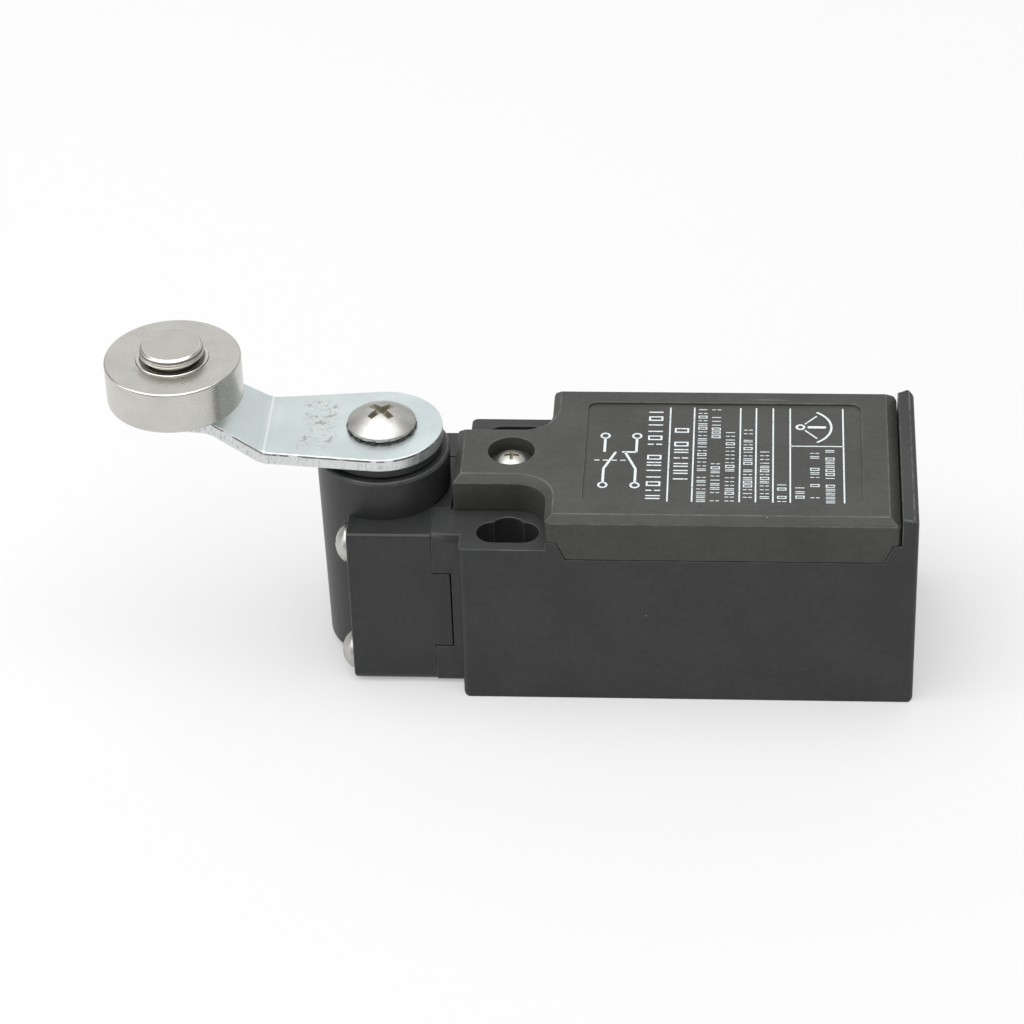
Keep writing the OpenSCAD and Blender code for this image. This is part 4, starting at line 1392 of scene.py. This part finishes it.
@dataclass
class Enclosure:
    """Base and cover, and what joins them."""

    edge_mm: float = 0.14
    cover_edge_mm: float = 0.112
    thread_major_mm: float = 10.0
    thread_pitch_mm: float = 1.5
    thread_run_out_mm: float = 0.7
    steps_per_turn: int = 72
    entry_lead_in_mm: float = 0.45
    entry_from_mm: float = 45.0
    wall_corner_mm: float = 0.9
    cover_screw_h_mm: float = 1.6

    def build(self) -> None:
        """Makes every piece of the enclosure."""
        self.base()
        self.entry_thread()
        shape = cad_copy("front_cover")
        soften(shape, self.cover_edge_mm)
        Piece("cover_moulding", Body.HOUSING, COVER_BLACK, ("front_cover",)).fit(to_mesh(shape))
        Label().build()
        dress(BRASS, "cover_screw_insert")
        self.cover_screw()
        dress(RUBBER, "cover_gasket")

    def _entry(self) -> tuple[Vector, float, float]:
        """Mouth, radius and length of the cable entry, in millimetres."""
        entry = [one for one in frame["record"]["mounts"] if one["name"] == "cable_entry"][0]
        return Vector(entry["pos_m"]) / MM, entry["dims"]["r_mm"], entry["dims"]["length_mm"]

    def base(self) -> None:
        """The base moulding, with its cable entry opened to the thread's root."""
        mouth, radius, _ = self._entry()
        shape = cad_copy("base_housing")
        rim = []
        for vert in shape.verts:
            spot = vert.co / MM
            arm = Vector((spot.y - mouth.y, spot.z - mouth.z))
            if spot.x > self.entry_from_mm and abs(arm.length - radius) < 0.03:
                arm = arm.normalized() * self.thread_major_mm
                vert.co.y = (mouth.y + arm.x) * MM
                vert.co.z = (mouth.z + arm.y) * MM
                if abs(spot.x - mouth.x) < 0.01:
                    rim.append(vert)
        ring = [edge for edge in shape.edges if edge.verts[0] in rim and edge.verts[1] in rim]
        round_edges(shape, ring, self.entry_lead_in_mm, 1)
        far = box_mm("base_housing")[1]
        wall = [edge for edge in shape.edges if self._on_wall_corner(edge, far)]
        round_edges(shape, wall, self.wall_corner_mm, 4)
        soften(shape, self.edge_mm)
        Piece("base_moulding", Body.HOUSING, BASE_BLACK, ("base_housing",)).fit(to_mesh(shape))

    def _on_wall_corner(self, edge: bmesh.types.BMEdge, far: Vector) -> bool:
        """Tells whether an edge is one of the two upper corners of the end wall.

        Args:
            edge: an edge of the base.
            far: the base's highest corner, in millimetres.

        Returns:
            True for such an edge.
        """
        ends = [vert.co / MM for vert in edge.verts]
        lengthwise = abs(ends[0].x - ends[1].x) > 0.5
        return lengthwise and all(abs(end.y) > far.y - 0.01 and end.z > far.z - 0.01 for end in ends)

    def entry_thread(self) -> None:
        """The thread of the cable entry: one ridge that runs in and out at its ends."""
        mouth, radius, length = self._entry()
        pitch = self.thread_pitch_mm
        steps = int((length - 2 * self.thread_run_out_mm) / pitch * self.steps_per_turn)
        root = self.thread_major_mm + 0.05
        fade = self.steps_per_turn * 0.4
        shape = bmesh.new()
        rings = []
        for step in range(steps + 1):
            turn = step / self.steps_per_turn
            angle = 2 * math.pi * turn
            ease = min(1.0, step / fade, (steps - step) / fade)
            crest = root - (root - radius) * max(ease, 0.02)
            middle = mouth.x - length + self.thread_run_out_mm + pitch * turn
            section = [(-0.46, root), (-0.1, crest), (0.1, crest), (0.46, root)]
            spots = [
                (middle + along * pitch, mouth.y + r * math.cos(angle), mouth.z + r * math.sin(angle))
                for along, r in section
            ]
            rings.append(add_ring(shape, spots))
        skin(shape, rings, False)
        shape.faces.new(rings[0])
        shape.faces.new(reversed(rings[-1]))
        bmesh.ops.recalc_face_normals(shape, faces=shape.faces[:])
        Piece("cable_entry_thread", Body.HOUSING, BASE_BLACK).fit(to_mesh(shape), 60.0)

    def cover_screw(self) -> None:
        """The screw that holds the cover, down its well."""
        low, high = box_mm("cover_screw")
        head_r = (high.x - low.x) / 2
        kind = ScrewKind(head_r, self.cover_screw_h_mm, 1.5, 8.0, arm_reach=0.7, rim_share=0.5)
        piece = Piece("cover_screw_head", Body.HOUSING, SCREW_NICKEL, ("cover_screw",))
        kind.set_on(piece, [(0.0, 0.0, high.z - kind.head_h)], turn_deg=(0.0, 0.0))


@dataclass
class TurningHead:
    """The head that carries the lever's shaft, with its screws, seals and guides."""

    edge_mm: float = 0.13
    screw_head_h_mm: float = 1.75
    screw_head_r_mm: float = 2.5

    def build(self) -> None:
        """Makes every piece of the head."""
        shape = cad_copy("head_block")
        soften(shape, self.edge_mm)
        Piece("head_moulding", Body.HOUSING, HEAD_BLACK, ("head_block",)).fit(to_mesh(shape))
        self.screws()
        dress(RUBBER, "head_gasket", "shaft_seal")
        dress(BRONZE, "shaft_bush")
        dress(BRASS, "plunger_guide")
        dress(STEEL, "spring_seat")

    def screws(self) -> None:
        """The four screws that clamp the head to the base."""
        low, high = box_mm("head_screws")
        x = low.x + self.screw_head_h_mm
        r = self.screw_head_r_mm
        spots = [(x, y, z) for y in (low.y + r, high.y - r) for z in (low.z + r, high.z - r)]
        piece = Piece("head_screw_set", Body.HOUSING, SCREW_NICKEL, ("head_screws",))
        ScrewKind(r, self.screw_head_h_mm, 1.5, 15.8).set_on(piece, spots, (-1, 0, 0), (20.0, 75.0))


@dataclass
class LeverStrip:
    """The bent steel strip that carries the roller."""

    edge_mm: float = 0.13
    bend_mm: float = 0.9
    thick_mm: float = 1.8
    bend_from_mm: float = 15.0
    bend_to_mm: float = 21.7

    def build(self) -> None:
        """Makes the strip, with rounded bends and sheared sides."""
        shape = cad_copy("lever_arm")
        round_edges(shape, [edge for edge in shape.edges if self._on_bend(edge)], self.bend_mm, 5)
        soften(shape, self.edge_mm, sharp_deg=50.0)
        hub_x = axis_mm("drive_disc")[0]
        self._mark_depth(shape, hub_x)
        finish = PlatedStrip("zinc_strip", Slot.ZINC, (0.59, 0.65, 0.65), hub_x_mm=hub_x)
        Piece("lever_strip", Body.LEVER, finish, ("lever_arm",)).fit(to_mesh(shape), 50.0)

    def _on_bend(self, edge: bmesh.types.BMEdge) -> bool:
        """Tells whether an edge runs across the strip at a bend."""
        crosswise = abs(edge.verts[0].co.x - edge.verts[1].co.x) < MERGE and edge.calc_length() > 5 * MM
        return crosswise and 10 < math.degrees(edge.calc_face_angle(0.0)) < 50

    def _mark_depth(self, shape: bmesh.types.BMesh, hub_x: float) -> None:
        """Marks how far each point lies below the strip's upper face, from 0 to 1.

        Args:
            shape: the mesh, changed in place.
            hub_x: place of the lever's axis along X, in millimetres.
        """
        mark = shape.verts.layers.float.new(DEPTH_MARK)
        low, high = box_mm("lever_arm")
        rise = high.z - low.z - self.thick_mm
        bend_x = hub_x - self.bend_from_mm
        bend_l = self.bend_to_mm - self.bend_from_mm
        for vert in shape.verts:
            along = min(1.0, max(0.0, (bend_x - vert.co.x / MM) / bend_l))
            top = low.z + self.thick_mm + rise * along
            vert[mark] = min(1.0, max(0.0, (top - vert.co.z / MM) / self.thick_mm))


@dataclass
class HubFastening:
    """What holds the lever on its shaft: screw and toothed washer, over a black disc."""

    disc_edge_mm: float = 0.12
    screw_h_mm: float = 2.2
    screw_node_h_mm: float = 2.4
    washer_teeth: int = 14
    washer_flat_share: float = 0.62
    washer_ring_r_mm: float = 3.35
    washer_ring_w_mm: float = 1.3
    tooth_l_mm: float = 1.1
    tooth_w_mm: float = 1.15
    tooth_twist_deg: float = 11.0

    def build(self) -> None:
        """Makes disc, washer and screw."""
        shape = cad_copy("drive_disc")
        soften(shape, self.disc_edge_mm)
        Piece("drive_disc_moulding", Body.LEVER, DISC_BLACK, ("drive_disc",)).fit(to_mesh(shape))
        self.lock_washer()
        self.screw()

    def lock_washer(self) -> None:
        """The toothed washer under the lever's screw."""
        low, high = box_mm("lever_lock_washer")
        outer = (high.x - low.x) / 2
        values = {
            "Teeth": self.washer_teeth,
            "Ring Radius": self.washer_ring_r_mm * MM,
            "Ring Width": self.washer_ring_w_mm * MM,
            "Thickness": (high.z - low.z) * self.washer_flat_share * MM,
            "Tooth Radius": (outer - self.tooth_l_mm / 2) * MM,
            "Tooth Length": self.tooth_l_mm * MM,
            "Tooth Width": self.tooth_w_mm * MM,
            "Twist": math.radians(self.tooth_twist_deg),
            "Place": Vector((*axis_mm("drive_disc"), (low.z + high.z) / 2)) * MM,
        }
        grown = tooth_grower().grow(seed_points([(0, 0, 0)]), DARK_STEEL, values)
        Piece("lever_tooth_washer", Body.LEVER, DARK_STEEL, ("lever_lock_washer",)).fit(grown)

    def screw(self) -> None:
        """The screw that clamps the lever to its shaft."""
        low, high = box_mm("lever_screw")
        head_r = (high.x - low.x) / 2
        kind = ScrewKind(
            head_r, self.screw_h_mm, 2.5, 12.5, arm_reach=0.7, arm_width=0.32, thread_pitch=0.8
        )
        piece = Piece("lever_clamp_screw", Body.LEVER, SCREW_NICKEL, ("lever_screw",))
        foot = (*axis_mm("drive_disc"), high.z - self.screw_node_h_mm)
        kind.set_on(piece, [foot], turn_deg=(45.0, 45.0))


@dataclass
class RollerPin:
    """The riveted pin, with a grooved head over the roller, and its two washers."""

    pin_r_mm: float = 3.0
    tail_r_mm: float = 4.0
    head_r_mm: float = 4.25
    head_h_mm: float = 1.2
    groove_pitch_mm: float = 0.32
    groove_depth_mm: float = 0.2
    groove_half_mm: float = 0.09
    washer_t_mm: float = 0.35
    washer_inset_mm: float = 0.7

    def build(self) -> None:
        """Makes pin and washers."""
        self.pin(axis_mm("roller"))
        self.washers(axis_mm("roller"))

    def pin(self, axis: Point2) -> None:
        """Makes the pin.

        Args:
            axis: the roller's axis, in millimetres.
        """
        low, high = box_mm("roller_pin")
        strip_low = box_mm("lever_arm")[1].z - LeverStrip.thick_mm
        head = high.z - self.head_h_mm
        tail_r = self.tail_r_mm
        corners = [
            (0.0, low.z, 0),
            (tail_r - 0.3, low.z, 0.12),
            (tail_r, low.z + 0.3, 0.1),
            (tail_r, strip_low, 0.05),
            (self.pin_r_mm, strip_low, 0),
            (self.pin_r_mm, head, 0),
            (self.head_r_mm - 0.05, head, 0.06),
        ]
        for groove in range(2):
            level = head + self.groove_pitch_mm * (groove + 1)
            out = self.head_r_mm - 0.05 * groove
            corners += [
                (out, level - self.groove_half_mm, 0.06),
                (out - self.groove_depth_mm, level, 0.03),
                (out - 0.03, level + self.groove_half_mm, 0.05),
            ]
        corners += [
            (self.head_r_mm - 0.17, high.z - 0.22, 0.14),
            (self.head_r_mm - 0.5, high.z, 0.25),
            (1.2, high.z - 0.02, 0.0),
            (0.0, high.z - 0.05, 0),
        ]
        mesh = turned(rounded(corners, False), axis, False)
        self._mark_grooves(mesh, axis, head, high.z - 0.3)
        finish = TurnedMetal("pin_satin", Slot.PIN, (0.56, 0.545, 0.505), axis, roughness=0.32, stain=0.5)
        Piece("roller_pin_turned", Body.LEVER, finish, ("roller_pin",)).fit(mark_rims(mesh, 0.12))

    def _mark_grooves(self, mesh: bpy.types.Mesh, axis: Point2, low: float, high: float) -> None:
        """Marks the grooves in the pin's head.

        Args:
            mesh: the pin, changed in place.
            axis: the pin's axis, in millimetres.
            low: level above which a groove counts.
            high: level below which a groove counts.
        """
        mark = mesh.attributes.new(RECESS_MARK, "FLOAT", "FACE")
        for face in mesh.polygons:
            spot = face.center / MM
            radius = math.hypot(spot.x - axis[0], spot.y - axis[1])
            mark.data[face.index].value = float(low < spot.z < high and 3.9 < radius < 4.16)

    def washers(self, axis: Point2) -> None:
        """Makes the two thin washers on the pin.

        Args:
            axis: the roller's axis, in millimetres.
        """
        low, high = box_mm("roller_washers")
        outer = (high.x - low.x) / 2 - self.washer_inset_mm
        bore = self.pin_r_mm + 0.03
        # The washers' dark colour and heavy stain are painted shade in the gap under the pin head.
        finish = TurnedMetal("washer_painted_shade", Slot.PIN, (0.3, 0.28, 0.24), axis, roughness=0.4, stain=0.8)
        lowest = (low.z, high.z - self.washer_t_mm)
        for name, z, stands_for in zip(("low", "high"), lowest, (("roller_washers",), ())):
            top = z + self.washer_t_mm
            corners = [(bore, z, 0.03), (outer, z, 0.1), (outer, top, 0.14), (bore, top, 0.03)]
            mesh = turned(rounded(corners, True, 3), axis, True, 112)
            Piece(f"roller_washer_{name}", Body.LEVER, finish, stands_for).fit(mesh)


@dataclass
class LeverTrain:
    """Everything that turns with the lever, save the roller."""

    def build(self) -> None:
        """Makes shaft, cam, strip, fastening and roller pin."""
        dress(STEEL, "lever_shaft", "shaft_circlip", "cam")
        for part in (LeverStrip(), HubFastening(), RollerPin()):
            part.build()


@dataclass
class RollerSet:
    """The steel roller and the bush that it turns on."""

    rim_mm: float = 0.3
    bush_bore_r_mm: float = 3.05
    bush_lip_mm: float = 0.45
    bush_dish_mm: float = 0.16

    def build(self) -> None:
        """Makes the roller and its bush."""
        low, high = box_mm("roller")
        axis = axis_mm("roller")
        outer = (high.x - low.x) / 2
        bush_low, bush_high = box_mm("roller_bush")
        bush_r = (bush_high.x - bush_low.x) / 2
        bore = bush_r + 0.02
        rim = self.rim_mm
        corners = [(bore, low.z, 0.06), (outer, low.z, rim), (outer, high.z, rim), (bore, high.z, 0.06)]
        # reflection_radius_mm: the roller's face is darkened in front of the bush as a painted reflection
        # of the pin head.
        finish = TurnedMetal(
            "roller_satin", Slot.ROLLER, (0.575, 0.565, 0.53), axis, roughness=0.27, reflection_radius_mm=bush_r
        )
        ring = mark_rims(turned(rounded(corners, True), axis, True, 224), 0.1)
        Piece("roller_ring", Body.ROLLER, finish, ("roller",)).fit(ring)
        dish = bush_high.z - self.bush_dish_mm
        corners = [
            (self.bush_bore_r_mm, bush_low.z, 0.08),
            (bush_r, bush_low.z, 0.08),
            (bush_r, bush_high.z, 0.12),
            (bush_r - self.bush_lip_mm, bush_high.z, 0.1),
            (bush_r - self.bush_lip_mm - 0.3, dish, 0.1),
            (self.bush_bore_r_mm, dish, 0.05),
        ]
        bright = TurnedMetal("bush_bright", Slot.PIN, (0.64, 0.62, 0.57), axis, roughness=0.24, stain=0.6)
        bush = mark_rims(turned(rounded(corners, True), axis, True), 0.1)
        Piece("roller_bush_turned", Body.ROLLER, bright, ("roller_bush",)).fit(bush)


@dataclass
class PlungerLine:
    """The plunger in the head and the spring that returns it."""

    turns: int = 7
    wire_r_mm: float = 0.35
    steps_per_turn: int = 40
    end_closing: float = 0.5

    def build(self) -> None:
        """Makes the plunger's pieces."""
        dress(STEEL, "head_plunger")
        low, high = box_mm("return_spring")
        wire = self.wire_r_mm
        length = high.x - low.x
        values = {
            "Steps": self.turns * self.steps_per_turn,
            "Turns": float(self.turns),
            "Coil Radius": ((high.y - low.y) / 2 - wire) * MM,
            "Wire Radius": wire * MM,
            "Start": Vector((low.x + wire, (low.y + high.y) / 2, (low.z + high.z) / 2)) * MM,
            "Length": (length - 2 * wire) * MM,
            "Closing": self.end_closing,
        }
        grown = coil_grower().grow(seed_points([(0, 0, 0)]), SPRING_STEEL, values)
        coil = Piece("return_spring_coil", Body.HOUSING, SPRING_STEEL, ("return_spring",))
        spring = coil.fit(grown, 60.0)
        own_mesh(spring)


@dataclass
class ContactBlock:
    """The contact block inside the enclosure and the carrier that slides in it."""

    terminal_screw: ScrewKind = field(default_factory=lambda: ScrewKind(2.3, 1.7, 1.5, 7.0))
    case_screw: ScrewKind = field(default_factory=lambda: ScrewKind(2.2, 1.5, 1.5, 12.8))

    def build(self) -> None:
        """Makes every piece of the contact block."""
        dress(CASE_CREAM, "contact_case", "contact_carrier")
        dress(LID_BLACK, "contact_lid")
        dress(BRASS, *(f"{pair}_terminal_{end}" for pair in ("nc", "no") for end in ("front", "back")))
        dress(STEEL, "terminal_clamps")
        dress(COPPER, "nc_bridge", "no_bridge")
        dress(SPRING_STEEL, "contact_springs")
        self.screws("terminal_screw", self.terminal_screw, 2)
        self.screws("case_screw", self.case_screw, 1)

    def screws(self, name: str, kind: ScrewKind, columns: int) -> None:
        """A set of screws whose heads stand at the corners of their node's box.

        Args:
            name: name of one screw.
            kind: the screw.
            columns: 2 for screws in two columns along X, 1 for one column.
        """
        node = name + "s"
        low, high = box_mm(node)
        r = kind.head_r
        across = (low.x + r, high.x - r)[:columns]
        spots = [(x, y, high.z - kind.head_h) for x in across for y in (low.y + r, high.y - r)]
        kind.set_on(Piece(name + "_set", Body.HOUSING, SCREW_NICKEL, (node,)), spots, seed=5)


@dataclass
class Studio:
    """Camera, pale floor and soft light."""

    camera_place: Colour = (0.03275, -0.40976, 0.31813)
    turn_deg: float = 4.600
    elevation_deg: float = 35.984
    roll_deg: float = -2.090
    lens_mm: float = 133.606
    floor_half: float = 3.0
    floor_shade: float = 0.42
    floor_glow: float = 0.36
    sky: float = 0.42
    top_glow: float = 2.8
    back_glow: float = 0.5
    left_glow: float = 1.6

    def build(self) -> None:
        """Sets camera, floor and light."""
        self.camera()
        self.floor()
        self.light()

    def camera(self) -> None:
        """Sets the camera."""
        turn, rise, roll = (math.radians(a) for a in (self.turn_deg, self.elevation_deg, self.roll_deg))
        back = Vector((math.sin(turn) * math.cos(rise), -math.cos(turn) * math.cos(rise), math.sin(rise)))
        right = (-back).cross(Vector((0, 0, 1))).normalized()
        up = right.cross(-back)
        across = right * math.cos(roll) + up * math.sin(roll)
        upward = up * math.cos(roll) - right * math.sin(roll)
        lens = bpy.data.cameras.new("camera")
        lens.lens = self.lens_mm
        lens.sensor_width = 36.0
        lens.clip_start = 0.01
        made = add_object("camera", lens)
        turned_to = Matrix((across, upward, back)).transposed().to_4x4()
        made.matrix_world = Matrix.Translation(self.camera_place) @ turned_to
        bpy.context.scene.camera = made

    def floor(self) -> None:
        """Lays the floor that the switch lies on."""
        mesh = bpy.data.meshes.new("floor")
        level = CAD_BOX[0].z
        sides = ((-1, -1), (1, -1), (1, 1), (-1, 1))
        corners = [(x * self.floor_half, y * self.floor_half, level) for x, y in sides]
        mesh.from_pydata(corners, [], [(0, 1, 2, 3)])
        shade = (self.floor_shade,) * 3
        mesh.materials.append(Paint("pale_floor").finish(shade, 0.8, specular=0.1, glow=self.floor_glow))
        add_object("floor", mesh)

    def lamp(self, name: str, place: Colour, size: Point2, glow: float) -> None:
        """Adds one soft panel of light that faces the switch.

        Args:
            name: its name.
            place: where it hangs.
            size: its two sides.
            glow: brightness of its surface, where 1 is white.
        """
        light = bpy.data.lights.new(name, "AREA")
        light.shape = "RECTANGLE"
        light.size, light.size_y = size
        light.energy = glow * math.pi * size[0] * size[1]
        made = add_object(name, light)
        made.location = place
        aim = Vector((0.0, 0.0, 0.02)) - Vector(place)
        made.rotation_euler = aim.to_track_quat("-Z", "Y").to_euler()

    def light(self) -> None:
        """Lights the scene: even sky, bright panels above, behind and at the left."""
        world = bpy.data.worlds.new("studio")
        world.use_nodes = True
        sky = world.node_tree.nodes["Background"].inputs
        sky["Color"].default_value = (1.0, 1.0, 1.0, 1.0)
        sky["Strength"].default_value = self.sky
        bpy.context.scene.world = world
        bpy.context.scene.view_settings.view_transform = "Standard"
        self.lamp("top_panel", (-0.1, -0.15, 1.0), (1.3, 1.3), self.top_glow)
        self.lamp("back_panel", (0.0, 1.3, 0.85), (2.6, 1.2), self.back_glow)
        self.lamp("left_panel", (-1.0, -0.15, 0.5), (0.5, 0.9), self.left_glow)


def main() -> None:
    """Builds the studio and every sub-assembly in order."""
    logging.basicConfig(level=logging.INFO, format="%(name)s: %(message)s")
    parts = (Studio(), Enclosure(), TurningHead(), LeverTrain(), RollerSet(), PlungerLine(), ContactBlock())
    for part in parts:
        LOG.info("building %s", type(part).__name__)
        part.build()


if __name__ == "__main__":
    main()
